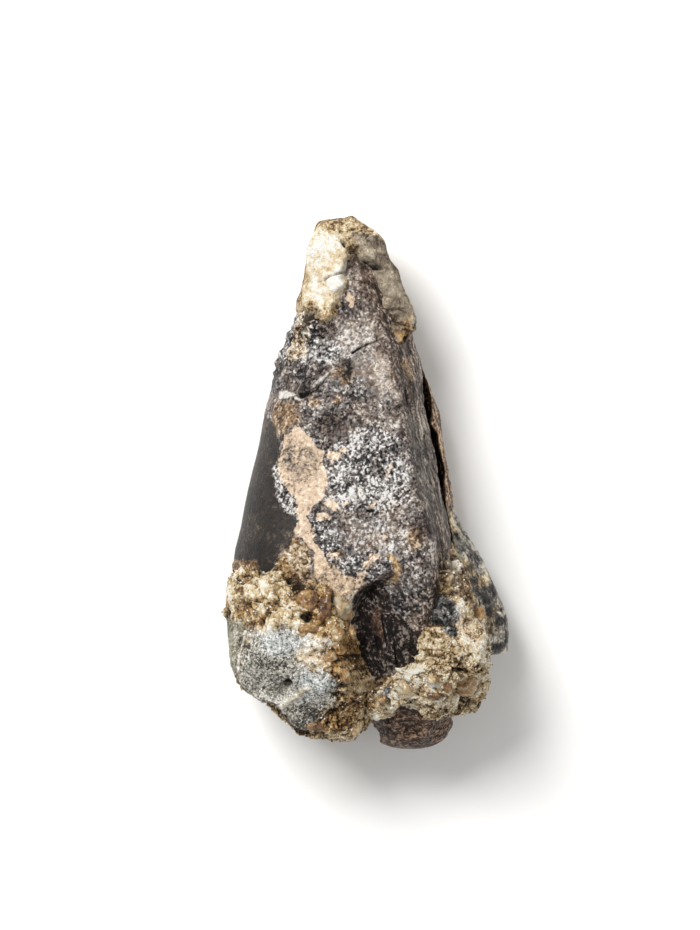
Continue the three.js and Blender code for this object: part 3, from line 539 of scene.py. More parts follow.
raised = add(tree, "Math", {"operation": "MULTIPLY_ADD"}, {0: pattern["dome"], 1: 0.8, 2: raised}).outputs[0]
calm = add(tree, "MapRange", inputs={0: share["smooth_band"], 3: 1.0, 4: 0.2}).outputs[0]
calm = add(tree, "Math", {"operation": "MULTIPLY_ADD"}, {0: share["tan_skin"], 1: -0.6, 2: calm}).outputs[0]
raised = add(tree, "Math", {"operation": "MULTIPLY"}, {0: raised, 1: calm}).outputs[0]
gloss = add(tree, "MapRange", inputs={0: fine, 3: 0.3, 4: 0.62}).outputs[0]
finish(tree, colour, gloss, raised, bump_mm=0.12, ior=1.52, shine=0.28)


def tooth_points():
    """The tooth swept along Y: at each of the rows a ray turns round the section's centre and stops at the
    section's reach plus the relief, times the cap's share. Rays are closer together on the front."""
    even = 2 * np.pi * np.arange(TOOTH_COLUMNS)[None, :] / TOOTH_COLUMNS
    turn = even + FRONT_CROWDING * np.cos(even)
    stations, centre, across, up, plain, (x, y, z) = rays_along(TOOTH, tooth_section, TOOTH_ROWS, turn)
    front = ease(0.1, 0.35, up)
    outlines = {
        "tan_skin": TAN_SKIN, "tan_core": TAN_CORE, "tan_low": TAN_LOW, "ochre_ridge": OCHRE_RIDGE,
        "ochre": OCHRE, "mauve": MAUVE, "bark": BARK, "red_ridge": RED_RIDGE, "flank_pale": FLANK_PALE,
        "pale_lip": PALE_FLAKES_AND_HIGHLIGHT, "black_gap": GAP_PAINTED_SHADE, "cream_crust": CREAM_CRUST,
    }
    fields = {key: inside_by(outline, x, y) * front - 9 * (1 - front) for key, outline in outlines.items()}
    fields["smooth_band"] = inside_by(SMOOTH_BAND, x, y)
    fields["seam_brown"] = inside_by(SEAM_BROWN, x, y)
    fields["root"] = ROOT_STARTS - y - 2.5 * front
    fields["flank"] = np.minimum(x - stations["ridge"] + 0.3 + 0.5 * rubble(x, y, z, 2.2, 2), 3.0)
    light, contrast = mottling(MOTTLE, x, y)
    rough = 1 - 0.8 * ease(-0.3, 0.4, fields["smooth_band"]) - 0.6 * ease(-0.2, 0.2, fields["tan_skin"])
    crazed = 0.6 + np.clip(contrast, 0, 1)
    bark = ease(-0.3, 0.5, fields["bark"])
    crumb = rubble(x, y, z, 1.3, 4) + 0.5 * lump(x / 0.28, y / 0.28, z / 0.28)
    crust = ease(-0.6, 0.6, fields["cream_crust"]) * rubble(x, y, z, 1.1, 3)
    crumbs = ease(-0.5, 0.4, inside_by(CRUMBLY_EDGE, x, y)) * ease(-0.5, 0.1, up) * rubble(x, y, z, 1.0, 3)
    bowed = x + 0.7 * lump(x / 2.4, y / 2.4, z / 2.4)
    folds = rubble(bowed, y / 2.6, z, 0.95, 4)
    furrows = ease(-2.6, 0.8, fields["flank"]) * front * lump((x - stations["ridge"]) / 0.9, y / 8, z / 3)
    flaking = ease(-1.6, 1.0, fields["flank"]) * rubble(x, y / 2.2, z, 1.3, 4)
    bent = y + 0.05 * (x - 5) ** 2 + 0.25 * lump(x / 2.2, y / 2.2, z / 2.2)
    growth = lump(x / 6, bent / 0.9, z / 3) + 0.5 * lump(x / 2.6, bent / 0.36, z / 2)
    growth = ease(0, 1.5, fields["root"]) * (growth + 0.3 * rubble(x, y, z, 1.4, 3))
    relief = tooth_form(x, y, z, up) + bark * (0.34 * folds - 0.2)
    for height, form in [(0.12, rough * crazed * crumb), (0.32, crust), (0.3, crumbs), (0.3, furrows),
                         (0.2, flaking), (0.32, growth)]:
        relief = relief + height * form
    # Stains that stand proud or are sunk: where the step starts and ends, in mm inside, and its height in mm
    for mask, low, high, height in [("tan_skin", -0.12, 0.1, 0.07), ("ochre_ridge", -0.4, 0.3, 0.2),
                                    ("black_gap", -0.15, 0.12, -0.45), ("pale_lip", -0.1, 0.1, 0.12)]:
        relief = relief + height * ease(low, high, fields[mask])
    # The lightness also follows the relief: crumbs, bark folds, furrows, crumbly edges and growth lines are
    # painted lighter on top and darker low down, painted light and shade over the zones' own tones.
    fields["light"] = light + 0.09 * crumb + bark * 0.26 * folds
    fields["light"] = fields["light"] + 0.25 * furrows + 0.25 * crumbs + 0.2 * growth
    fields["contrast"] = contrast
    reach = (plain + relief) * cap_share(TOOTH, y, TOOTH_CAP)
    rings = np.stack([centre[0] + across * reach, y, centre[1] + up * reach], -1)
    ends = []
    for level in (TOOTH["y"][0], TOOTH["y"][-1]):
        _, middle = tooth_section(along(TOOTH, np.array(level)))
        ends.append([float(middle[0]), level, float(middle[1])])
    return closed_skin(rings, *ends, fields)


make_piece("weathered_tooth", *tooth_points(), "fossil_tooth", "tooth", enamel)


# Neighbour's edge
# The edge of the next tooth of the same battery: a brown enamel blade above, parted from the crown by an
# open crevice, and a flared slate-grey plate below with a flat broken end, held by the stone.
PLATE = {
    "y": [-17.3, -14, -11, -7.5, -4, 0, 5, 9, 13.2],
    "inner": [7.6, 7.0, 6.4, 5.8, 5.2, 4.6, 3.8, 2.8, 1.8],
    "outer": [14.1, 14.0, 13.0, 11.3, 9.2, 8.2, 7.4, 6.4, 4.9],
    "low": [3.6, 3.0, 3.0, 3.0, 3.0, 3.0, 3.2, 3.6, 4.4],
    "rim": [6.2, 6.0, 5.6, 5.4, 5.2, 5.2, 5.4, 5.6, 6.0],
    "high": [10.2, 11.4, 11.8, 11.4, 10.4, 9.6, 9.4, 9.2, 8.6],
}
PLATE_CAP = 0.7
PLATE_ROWS, PLATE_COLUMNS = 420, 200
CREVICE = {"width": 0.6, "depth": 3.4}
WING_STARTS = -2.5
WING_TAN = [
    [(7.2, -2.2), (8.2, -3.0), (9.0, -4.9), (8.4, -5.4), (7.4, -3.9)],
    blob(9.6, -8.6, 0.8, 1.2, 30), blob(11.4, -9.8, 1.2, 0.7, 20), blob(8.4, -7.4, 0.5, 1.4, 15),
    blob(11.6, -14.2, 1.4, 1.0, 10), blob(12.6, -12.6, 0.4, 0.8),
]
WING_DARK = [
    [(9.4, -9.0), (10.6, -9.5), (11.2, -11.0), (10.8, -12.6), (9.6, -12.0)],
    blob(12.2, -11.4, 1.0, 1.3), blob(12.6, -13.9, 1.6, 0.35, 15), blob(12.4, -16.6, 1.0, 0.5),
]

# The same enamel, browner: a silky striated blade, a duller slate-grey plate with tan and dark patches, and
# painted shade near black down in the crevice.
plate_enamel, tree, pattern = start_finish("brown_fossil_enamel", 0.18, [
    ("speck", 1.6, 0.74, 0.12, (1, 1, 1), 0),
    ("fine", 0.2, 0.6, 0.2, (1, 1, 1), 0),
    ("streak", 0.6, 0.75, 0.16, (1, 6, 1), 12),
    ("edge", 1.1, 0.75, 0.25, (1, 1, 1), 0),
])
signal = mottled(tree, [(pattern["fleck"], 0.15), (pattern["speck"], 0.85)], 1.5)
streaky = mottled(tree, [(pattern["fleck"], 0.4), (pattern["streak"], 0.6)], 2.0)
BLADE_BROWNS = ["#140c08", "#432f23", "#7d604c", "#b28f72", "#e6cba9"]
colour = add(tree, "ValToRGB", inputs={0: streaky}, hexes=BLADE_BROWNS).outputs[0]
colour, share = stained(tree, colour, pattern["edge"], [
    ("wing", ["#161413", "#454240", "#79756c", "#a8a090", "#ddd5c5"], signal, 0.9, 0.6, 1.0),
    ("wing_tan", ["#3c2e1d", "#77603f", "#a98e65", "#cbb48c", "#f0e2c3"], signal, 0.7, 0.3, 0.85),
    ("wing_dark", ["#0a0908", "#191614", "#2c2825", "#47423d", "#7c766e"], signal, 0.5, 0.3, 0.9),
    # The crevice: painted shade, near black.
    ("crevice", ["#020101", "#050403", "#0a0807", "#14110e", "#2a2520"], signal, 0.2, 0.15, 1.0),
])
raised = {0: pattern["dome"], 1: 0.8, 2: pattern["speck"]}
raised = add(tree, "Math", {"operation": "MULTIPLY_ADD"}, raised).outputs[0]
gloss = add(tree, "MapRange", inputs={0: pattern["fine"], 3: 0.34, 4: 0.66}).outputs[0]
finish(tree, colour, gloss, raised, bump_mm=0.12, ior=1.52, shine=0.28)


def plate_section(s):
    """The plate's seven-sided section: a low flat underside, an outer rim and a top that leans inwards."""
    width = s["outer"] - s["inner"]
    corners = [
        (s["inner"], s["low"]),
        (s["outer"] - 0.18 * width, s["low"] + 0.3),
        (s["outer"], s["rim"] - 0.9),
        (s["outer"] - 0.02 * width, s["rim"] + 0.5),
        (s["outer"] - 0.42 * width, s["rim"] + 0.72 * (s["high"] - s["rim"])),
        (s["inner"] + 0.12 * width, s["high"]),
        (s["inner"], s["high"] - 0.8),
    ]
    return corners, ((s["inner"] + s["outer"]) / 2, s["low"] + 0.8 * (s["rim"] - s["low"]))


def row_middles(stations, centre):
    """The end points of a swept piece: the middles of its first and last row, moved along Y to the ends."""
    return [[float(centre[0][n, 0]), stations["y"][n], float(centre[1][n, 0])] for n in (0, -1)]


def plate_points():
    """The plate swept along Y like the tooth, with crumbs on it. Next to the tooth it drops away, so that a
    crevice stays open between them."""
    turn = 2 * np.pi * np.arange(PLATE_COLUMNS)[None, :] / PLATE_COLUMNS
    _, centre, across, up, plain, (x, y, z) = rays_along(PLATE, plate_section, PLATE_ROWS, turn)
    crumb = rubble(x, y / 1.6, z, 1.6, 4) + 0.4 * lump(x / 0.3, y / 0.3, z / 0.3)
    relief = 0.18 * lump(x / 3.5, y / 3.5, z / 3.5) + 0.14 * crumb
    reach = (plain + relief) * cap_share(PLATE, y, PLATE_CAP)
    x, z = centre[0] + across * reach, centre[1] + up * reach
    tooth_corners, middle = tooth_section(along(TOOTH, y))
    away = np.hypot(x - middle[0], z - middle[1])
    gap = away - section_reach(tooth_corners, middle, (x - middle[0]) / away, (z - middle[1]) / away)
    width = CREVICE["width"] * (1 + 0.5 * lump(x / 1.2, y / 1.2, 0 * y)) * ease(-2.5, 2.0, y)
    z = z - CREVICE["depth"] * ease(0.3, -0.1, gap - width) * ease(0, 0.4, up) * ease(12.8, 11.4, y)
    fields = {
        "wing": WING_STARTS - y,
        "wing_tan": inside_by(WING_TAN, x, y),
        "wing_dark": inside_by(WING_DARK, x, y),
        # Painted shade and light: the crumbs darker low down and lighter on top.
        "light": 0.1 * crumb,
        "contrast": 0 * x,
        # Where the crevice is painted near black as shade.
        "crevice": width - gap - 2 * ease(0.3, 0, width) - 4 * ease(11.4, 12.6, y),
    }
    return closed_skin(np.stack([x, y, z], -1), *row_middles(PLATE, centre), fields)


make_piece("neighbour_edge", *plate_points(), "fossil_plate", "side_plate", plate_enamel)


# Sandstone
# River sand cemented hard: two broken blocks round the root, a crust over the tip and a layer under the
# back. It broke along faces and chips, and it has come off the front of the tooth along a ragged line.
LEFT_BLOCK = {
    "centre": (-6.5, -15.5, 9.5),
    "faces": [(-1, 0.04, 0.05, 7.35), (-0.95, -0.31, 0, 7.5), (-0.64, -0.77, 0, 7.15),
              (-0.25, -0.97, 0, 9.0), (0.1, -0.99, 0, 10.7), (0.75, -0.66, 0, 10.1), (1, 0, 0.1, 8.4),
              (-0.12, -0.3, 0.95, 9.4), (-0.08, 0.42, 0.9, 10.2), (-0.74, -0.08, 0.67, 9.1),
              (-0.42, -0.62, 0.66, 8.7), (0.1, -0.78, 0.62, 9.3), (0, 1, 0, 9.2), (0, 0, -1, 8.7),
              (-0.66, 0, -0.75, 8.2), (-0.2, -0.72, -0.66, 8.2)],
    "chips": 26, "reach": (8.6, 10.6, 9.6), "seed": 3, "grid": (250, 380),
}
RIGHT_BLOCK = {
    "centre": (4.5, -15, 9),
    "faces": [(1, 0, 0, 7.1), (0.956, 0.295, 0, 6.4), (0.05, -1, 0, 7.9), (-0.1, -0.8, 0.6, 9.0),
              (0.15, -0.05, 0.98, 9.7), (0.22, 0.42, 0.88, 10.7), (0.62, 0.08, 0.78, 9.0),
              (0.1, -0.5, 0.86, 9.6), (0, 1, 0, 9.4), (-1, 0, 0, 7.0), (0, 0, -1, 8.2),
              (0.62, 0, -0.78, 7.6), (0, -0.72, -0.7, 7.4)],
    "chips": 26, "reach": (8.4, 9.2, 9.8), "seed": 11, "grid": (250, 360),
}
TIP_CRUST = {
    "centre": (-1.6, 19, 7.6),
    "faces": [(-0.18, 0.98, 0, 7.35), (0.4, 0.9, 0, 7.0), (0.74, 0.67, 0, 5.8), (0.935, 0.355, 0, 4.6),
              (-0.952, 0.305, 0, 5.35), (-1, 0, 0.1, 5.2), (0.8, -0.6, 0, 6.8),
              (-0.45, 0.22, 0.87, 5.3), (0, 0.55, 0.84, 5.5), (0.55, 0.25, 0.8, 5.0), (0, -1, 0, 6.5),
              (0, 0.1, -1, 6.0), (0.5, 0.5, -0.7, 5.2), (-0.6, 0.3, -0.72, 5.4)],
    "chips": 10, "reach": (6.3, 8.2, 5.4), "seed": 23, "grid": (220, 280),
}
BLOCK_SHARPNESS = 44
STONE_PIT = {"x": -8.1, "y": -19.9, "radius": 0.85, "depth": 1.0}
BURIED = 0.85
CROWN_SHOWS = [
    (-16, -5.8), (-12.6, -6.9), (-11.1, -7.2), (-10.5, -8.6), (-9.5, -8.4), (-8.9, -7.6), (-7.4, -7.2),
    (-6.4, -8.9), (-4.2, -9.8), (-2.2, -10.9), (-2.5, -14.4), (-2.7, -17.6), (-1.5, -20.8), (0.6, -20.0),
    (3.0, -19.0), (6.5, -17.8), (6.8, -14.8), (6.7, -13.6), (6.7, -12.7), (7.6, -11.0), (6.6, -8.6),
    (6.4, -5.6), (8.6, -2.0), (16, 0), (16, 13.2), (3.0, 13.8), (2.5, 17.0), (1.4, 20.2), (0.4, 21.6),
    (-1.1, 23.2), (-1.9, 23.2), (-2.4, 20.6), (-3.0, 17.9), (-4.9, 15.8), (-7.0, 15.2), (-9.2, 14.4),
    (-16, 13.0),
]
GREY_STONE = [
    [(-12.1, -14.2), (-9.6, -14.3), (-8.2, -14.1), (-6.6, -14.8), (-5.2, -15.4), (-6.6, -16.2),
     (-7.0, -17.4), (-5.6, -18.2), (-4.0, -18.6), (-3.2, -19.8), (-3.4, -21.4), (-4.8, -22.6),
     (-5.4, -24.4), (-7.4, -24.4), (-9.4, -21.6), (-12.0, -20.9), (-13.0, -19.6), (-12.7, -17.6),
     (-12.2, -15.6)],
]
BLUE_GREY = [
    [(-10.7, -14.8), (-8.6, -14.3), (-6.6, -15.0), (-6.9, -16.2), (-8.2, -17.0), (-10.4, -16.4)],
    [(-6.6, -18.2), (-4.6, -18.4), (-3.6, -19.6), (-4.8, -21.0), (-6.6, -21.6), (-7.4, -19.6)],
]
GREEN_FACET = [
    [(-16, -13.8), (-12.6, -13.4), (-12.2, -15.4), (-12.6, -17.2), (-12.8, -19.4), (-16, -19.4)],
]
AMBER = [
    [(-7.0, -10.6), (-4.6, -10.3), (-1.8, -10.8), (-1.7, -15.8), (-3.2, -19.8), (-4.4, -18.4),
     (-4.2, -15.6), (-6.8, -14.6)],
    [(-5.8, -23.6), (-4.6, -23.0), (-3.0, -21.0), (-1.4, -20.4), (0.4, -21.8), (-0.4, -23.4), (-1.2, -26.6),
     (-7.2, -25.2)],
    blob(-12.0, -12.4, 1.0, 0.5, 30), blob(-11.6, -8.1, 1.2, 0.35, -10), blob(-8.0, -8.3, 0.5, 0.9),
    blob(-10.6, -13.4, 0.5, 0.4), blob(5.6, -13.6, 0.9, 1.8, 30), blob(10.0, -20.4, 1.0, 1.4),
    blob(1.2, -19.2, 1.0, 0.8), blob(5.8, -20.9, 0.9, 0.5, -10), blob(3.7, 15.0, 0.9, 1.3),
    blob(9.7, -9.4, 0.6, 2.4, 14), blob(7.2, -3.4, 0.6, 0.9, 20), blob(7.6, -5.6, 0.6, 1.2, 20),
]
PINK_CREAM = [
    [(-7.0, -15.6), (-5.6, -15.4), (-4.0, -15.8), (-3.6, -17.4), (-5.4, -18.2), (-7.0, -17.2)],
    blob(4.0, -20.2, 1.0, 0.8), blob(-6.4, -8.0, 1.2, 1.6, -10), blob(10.6, -12.9, 0.8, 0.9),
    blob(9.8, -14.4, 0.8, 2.2, 20),
]
SLATE_PATCH = [
    [(5.8, -11.8), (6.8, -11.4), (7.8, -10.7), (8.4, -11.6), (9.1, -12.8), (8.8, -13.6), (7.2, -13.8),
     (6.2, -13.2)],
    blob(8.2, -14.4, 0.9, 0.7, -30), blob(1.5, -21.0, 0.45, 0.9, -15), blob(3.0, -20.8, 0.3, 0.45),
    blob(-10.2, -8.6, 0.6, 0.5),
]
KHAKI = [
    [(-2.0, 27), (8, 27), (8, 12), (2.2, 12), (1.0, 18.6), (-1.2, 22.8), (-2.1, 24.4)],
    [(-9.4, 12), (-7.6, 17.0), (-5.0, 17.4), (-4.0, 13)],
    [(5.2, -4.6), (7.0, -1.8), (9.2, -6.0), (10.4, -11.6), (9.2, -12.0), (7.2, -8.4)],
]
WHITE_GRAINS = [
    [(5.6, -4.6), (6.6, -4.9), (7.0, -6.4), (7.2, -7.4), (6.2, -7.2), (5.8, -6.0)],
    blob(8.5, -7.9, 0.3, 0.9, 20), blob(-3.4, 19.9, 0.8, 1.0, 10), blob(-5.0, 23.1, 0.6, 0.8),
    blob(-3.2, 21.6, 0.6, 1.0, -30), blob(6.2, -19.6, 0.5, 0.6), blob(-3.9, -15.4, 0.6, 0.4),
    blob(-1.3, -24.1, 0.4, 0.6, 20),
    [(-8.9, -21.7), (-7.6, -21.0), (-6.2, -20.0), (-5.7, -20.3), (-7.0, -21.3), (-8.6, -22.1)],
]
TIP_CREAM = [
    [(-5.8, 26.6), (-2.4, 26.6), (-1.9, 23.8), (-2.3, 20.8), (-2.8, 18.3), (-4.7, 17.4), (-7.4, 18.0),
     (-7.0, 22.1)],
]
# The lit edge of the left bevel, painted as a pale line: a painted highlight.
BEVEL_HIGHLIGHT = [
    [(-12.2, -14.0), (-12.05, -14.1), (-12.35, -16.5), (-12.75, -18.6), (-12.9, -18.5), (-12.5, -16.4)],
]
# Holes, pits, cracks and seams of the stone, painted near black as the shade down in them, with a few dark
# flecks; they are also sunk.
HOLE_PAINTED_SHADE = [
    [(-6.9, -12.9), (-6.5, -12.5), (-5.9, -12.6), (-5.6, -13.2), (-6.1, -13.7), (-6.5, -13.3)],
    blob(2.9, -20.6, 0.35, 0.45), blob(-8.1, -19.9, 0.5, 0.3, -8), blob(12.0, -16.4, 0.5, 0.3),
    blob(-7.9, -9.4, 0.2, 0.4), blob(-5.9, -8.7, 0.2, 0.2), blob(9.0, -18.4, 0.9, 0.2, -10),
    blob(-3.6, -23.9, 1.0, 0.35, -20), blob(0.5, 21.7, 1.0, 0.25, -25), blob(-1.6, 20.5, 0.14, 0.45, 15),
    blob(-3.8, 20.5, 1.5, 0.06, 22), blob(-4.5, 25.6, 0.6, 0.14, 20), blob(-2.6, 23.9, 0.2, 0.5, 25),
    blob(-3.1, 25.3, 0.4, 0.12, -30),
]
STONE_MOTTLE = [
    (-0.17, 0.1, 0.5, [(-12.6, -15.4), (-10.6, -16.6), (-8.0, -17.2), (-7.0, -18.6), (-8.6, -20.6),
     (-12.4, -20.6)]),
    (-0.14, 0.0, 0.5, [(-8.6, -21.8), (-5.0, -21.6), (-4.6, -23.4), (-7.4, -24.6)]),
    (-0.08, 0.4, 0.8, [(-6.0, -22.6), (-3.0, -21.0), (-0.8, -21.0), (-0.4, -25.6), (-5.6, -25.4)]),
    (-0.2, 0.1, 0.6, [(-8.0, -8.8), (-4.4, -9.0), (-4.4, -11.2), (-8.0, -11.2)]),
    (0.16, 0.1, 0.6, [(-7.4, -11.4), (-1.8, -11.2), (-1.9, -16.0), (-3.4, -19.0), (-4.4, -18.4),
     (-7.0, -15.0)]),
    (0.03, 0.3, 0.8, [(3.0, -17.6), (11.6, -16.4), (11.8, -22.6), (1.0, -23.0)]),
    (0.24, -0.1, 0.8, [(-12.6, -9.4), (-8.4, -9.6), (-7.2, -13.8), (-10.8, -14.0), (-12.4, -12.0)]),
    (0.34, 0.0, 0.8, [(-5.4, 25), (-2.2, 25), (-2.2, 20.4), (-3.2, 18.4), (-5.0, 17.4), (-6.8, 19.6)]),
    (0.08, -0.6, 0.8, [(-1.6, 24.6), (0.6, 24.6), (4.4, 18.0), (6, 12), (1.6, 12.0), (1.2, 19.0),
     (-1.0, 23.0)]),
    (-0.3, 0.7, 0.5, blob(-1.6, 25.3, 3.0, 0.9)), (-0.22, 0.4, 0.8, blob(4.2, 14.6, 1.6, 2.0)),
    (0.22, 0.2, 0.8, [(2.0, -16.6), (5.6, -14.4), (11.6, -10.0), (12.4, -23), (0.0, -23.4)]),
    (-0.15, 0.35, 0.5, [(-9.4, 13), (-7.8, 17), (-6.2, 18.0), (-5.0, 17.0), (-5.0, 13)]),
]


def cells(x, y, z, size):
    """Seeds lie one to a cube of size mm. Gives how far the nearest and the next seed are, in cube sizes, a
    random number that belongs to the nearest, and the height of the nearest one's own random slope."""
    px, py, pz = x / size, y / size, z / size
    i, j, k = np.floor(px), np.floor(py), np.floor(pz)
    nearest, following = np.full(x.shape, 9.0), np.full(x.shape, 9.0)
    number, slope = np.zeros(x.shape), np.zeros(x.shape)
    for step in range(27):
        a, b, c = i + step % 3 - 1, j + step // 3 % 3 - 1, k + step // 9 - 1
        dx, dy, dz = a + scatter(a, b, c) - px, b + scatter(b, c, a) - py, c + scatter(c, a, b) - pz
        away = np.sqrt(dx * dx + dy * dy + dz * dz)
        closer = away < nearest
        own = scatter(a + 5, b + 9, c + 2)
        lean = (2 * own - 1) * dx + np.sin(39 * own) * dy + np.sin(87 * own) * dz
        following = np.where(closer, nearest, np.minimum(following, away))
        number, slope = np.where(closer, own, number), np.where(closer, lean, slope)
        nearest = np.minimum(nearest, away)
    return nearest, following, number, slope


def break_away(points):
    """Brings stone down to a share of the tooth's radius where the front of the tooth shows. It is whole
    below a height, and the line it has broken along wanders with the noise."""
    x, y, z = points[..., 0], points[..., 1], points[..., 2]
    ragged = 0.4 * lump(x / 1.1, y / 1.1, z / 1.1) + 0.25 * lump(x / 0.45, y / 0.45, z / 0.45)
    shows = ease(-0.5, 0.4, inside_by([CROWN_SHOWS], x, y) + ragged) * ease(6.5, 9.5, z)
    shows = shows * (y > TOOTH["y"][0]) * (y < TOOTH["y"][-1])
    corners, centre = tooth_section(along(TOOTH, y))
    away = np.hypot(x - centre[0], z - centre[1])
    across, up = (x - centre[0]) / away, (z - centre[1]) / away
    plain = section_reach(corners, centre, across, up)
    surface = plain + tooth_form(centre[0] + across * plain, y, centre[1] + up * plain, up)
    target = away + (np.minimum(away, BURIED * surface) - away) * shows
    return np.stack([centre[0] + across * target, y, centre[1] + up * target], -1)


def grainy(x, y, z, front):
    """The stone's crumbly relief in mm and its colour fields. Chips of 1.7 mm and grains of 0.6 mm each
    have their own slope and height, with creases where two meet, on lumps of 1.9 mm and finer. The stone's
    bedding steps out in ledges low on the right, pale grains stand proud, and holes are sunk. The lightness
    follows the relief as painted shade, darker in the creases and low parts."""
    outlines = {
        "grey_stone": GREY_STONE, "blue_grey": BLUE_GREY, "amber": AMBER, "slate_patch": SLATE_PATCH,
        "khaki": KHAKI, "white_grains": WHITE_GRAINS, "black_holes": HOLE_PAINTED_SHADE, "pink_cream": PINK_CREAM,
        "tip_cream": TIP_CREAM, "bevel_line": BEVEL_HIGHLIGHT,
    }
    fields = {key: inside_by(outline, x, y) * front - 9 * (1 - front) for key, outline in outlines.items()}
    fields["green_facet"] = inside_by(GREEN_FACET, x, y)
    crumbly = 1 - 0.65 * ease(-0.3, 0.5, fields["grey_stone"]) - 0.7 * ease(-0.2, 0.4, fields["green_facet"])
    crumbly = crumbly * (1 - 0.65 * ease(15, 19, y))
    bedding = lump(x / 6, y / 0.7 + 0.5 * lump(x / 2, y / 3, z / 2), z / 2.5)
    ledges = ease(0.2, 1, bedding) * ease(-17, -20, y) * ease(2, 5, x)
    orders = ((x, y, z), (y, z, x), (z, x, y))
    warp = [0.35 * lump(a / 0.8, b / 0.8, c / 0.8) for a, b, c in orders]
    near, following, number, slope = cells(x + warp[0], y + warp[1], z + warp[2], 1.7)
    crease = 1 - ease(0, 0.16, following - near)
    small_near, small_following, small_number, small_slope = cells(x + warp[1], y + warp[2], z + warp[0], 0.6)
    small_crease = 1 - ease(0, 0.3, small_following - small_near)
    chips = 0.34 * slope + 0.2 * (number - 0.5) - 0.1 * crease
    grains = 0.1 * small_slope + 0.12 * (small_number - 0.5) - 0.06 * small_crease
    lumps = 0.24 * rubble(x, y, z, 1.9, 4) - 0.4 * ease(0.35, 0.8, lump(x / 0.9, y / 0.9, z / 0.9))
    broken = crumbly * (chips + grains + lumps)
    relief = broken + 0.02 * lump(x / 0.35, y / 0.35, z / 0.35) + 0.45 * ledges
    relief = relief - 0.7 * ease(-0.2, 0.3, fields["black_holes"])
    relief = relief + 0.25 * ease(-0.2, 0.4, fields["white_grains"])
    light, contrast = mottling(STONE_MOTTLE, x, y)
    # Painted shade: the lightness follows the relief, darker in creases and low parts, on top of each chip's
    # and grain's random tone.
    relief_shade_and_tones = 0.62 * broken + crumbly * (0.16 * (small_number - 0.5) + 0.14 * (number - 0.5) - 0.24 * crease)
    fields["light"] = light * front + relief_shade_and_tones
    fields["contrast"] = contrast * front
    return relief, fields


# Broken sandstone: quartz and feldspar sand from cream to brown in a paler cement, stained ochre and amber
# by iron, with one lens of fine grey sandstone. It is dry and matt, and glints only where a grain is fresh.
sandstone, tree, pattern = start_finish("broken_sandstone", 0.19, [
    ("speck", 0.5, 0.8, 0.12, (1, 1, 1), 0),
    ("fine", 0.16, 0.7, 0.16, (1, 1, 1), 0),
    ("cloud", 2.8, 0.7, 0.13, (1, 1, 1), 0),
    ("warmth", 3.0, 0.75, 0.12, (1, 1, 1), 0),
    ("edge", 1.0, 0.8, 0.25, (1, 1, 1), 0),
])
signal = mottled(tree, [(pattern["fleck"], 0.3), (pattern["speck"], 0.3), (pattern["cloud"], 0.4)], 1.35)
sandy = mottled(tree, [(pattern["fleck"], 0.35), (pattern["fine"], 0.45), (pattern["cloud"], 0.2)], 1.5)
soft = mottled(tree, [(pattern["fleck"], 0.15), (pattern["speck"], 0.35), (pattern["cloud"], 0.5)], 1.35)
edge = pattern["edge"]
CREAMS = ["#3a2b1b", "#8a7252", "#cbb288", "#eddcb8", "#fffcf0"]
OCHRES = ["#20130a", "#7a5c3a", "#be9d6e", "#e6cfa3", "#fdf5e0"]
colour = add(tree, "ValToRGB", inputs={0: signal}, hexes=CREAMS).outputs[0]
ochres = add(tree, "ValToRGB", inputs={0: signal}, hexes=OCHRES).outputs[0]
warm = add(tree, "Math", {"operation": "MULTIPLY"}, {0: pattern["warmth"], 1: 0.7}).outputs[0]
colour = add(tree, "Mix", {"data_type": "RGBA"}, {0: warm, 6: colour, 7: ochres}).outputs[2]
colour, share = stained(tree, colour, edge, [
    ("khaki", ["#352c22", "#6f6252", "#988a77", "#bfb098", "#ede2ce"], soft, 0.9, 0.6, 1.0),
    ("amber", ["#170f08", "#5f4020", "#a97d43", "#d9b070", "#f9e9c2"], signal, 0.8, 0.5, 0.85),
    ("pink_cream", ["#4b3b2e", "#9b8268", "#d2b897", "#ead6b5", "#fff8ea"], signal, 0.6, 0.3, 0.85),
    ("grey_stone", ["#2e2c28", "#7d796f", "#b4afa3", "#d7d3c8", "#fdfcf8"], sandy, 0.8, 0.45, 1.0),
    ("blue_grey", ["#3c4041", "#868a89", "#b5b8b6", "#d6d9d6", "#fcfdfc"], sandy, 0.9, 0.6, 0.75),
    ("green_facet", ["#383429", "#736e5e", "#a19c88", "#c6c1ad", "#efebdf"], sandy, 0.2, 0.12, 1.0),
    ("slate_patch", ["#0c0c0c", "#3a3836", "#686562", "#9d9994", "#ebe8e2"], signal, 0.25, 0.1, 1.0),
    ("white_grains", ["#a8977c", "#dccfb5", "#f6eedc", "#fffaf0", "#ffffff"], signal, 0.3, 0.25, 0.9),
    ("tip_cream", ["#3a2a18", "#b0936a", "#dcc69e", "#f1e1c2", "#fffcf4"], soft, 0.9, 0.6, 0.95),
    # The bevel's painted highlight.
    ("bevel_line", ["#b5ad9b", "#dcd6c7", "#f4f0e6", "#fffdf8", "#ffffff"], signal, 0.1, 0.08, 0.8),
    # Holes and cracks: painted shade, near black, with a few dark flecks.
    ("black_holes", ["#060403", "#0f0b08", "#1a130e", "#2c2119", "#4a3a2c"], signal, 0.15, 0.12, 1.0),
])
raised = {0: pattern["dome"], 1: 0.9, 2: pattern["speck"]}
raised = add(tree, "Math", {"operation": "MULTIPLY_ADD"}, raised).outputs[0]
calm = add(tree, "MapRange", inputs={0: share["grey_stone"], 3: 1.0, 4: 0.35}).outputs[0]
raised = add(tree, "Math", {"operation": "MULTIPLY"}, {0: raised, 1: calm}).outputs[0]
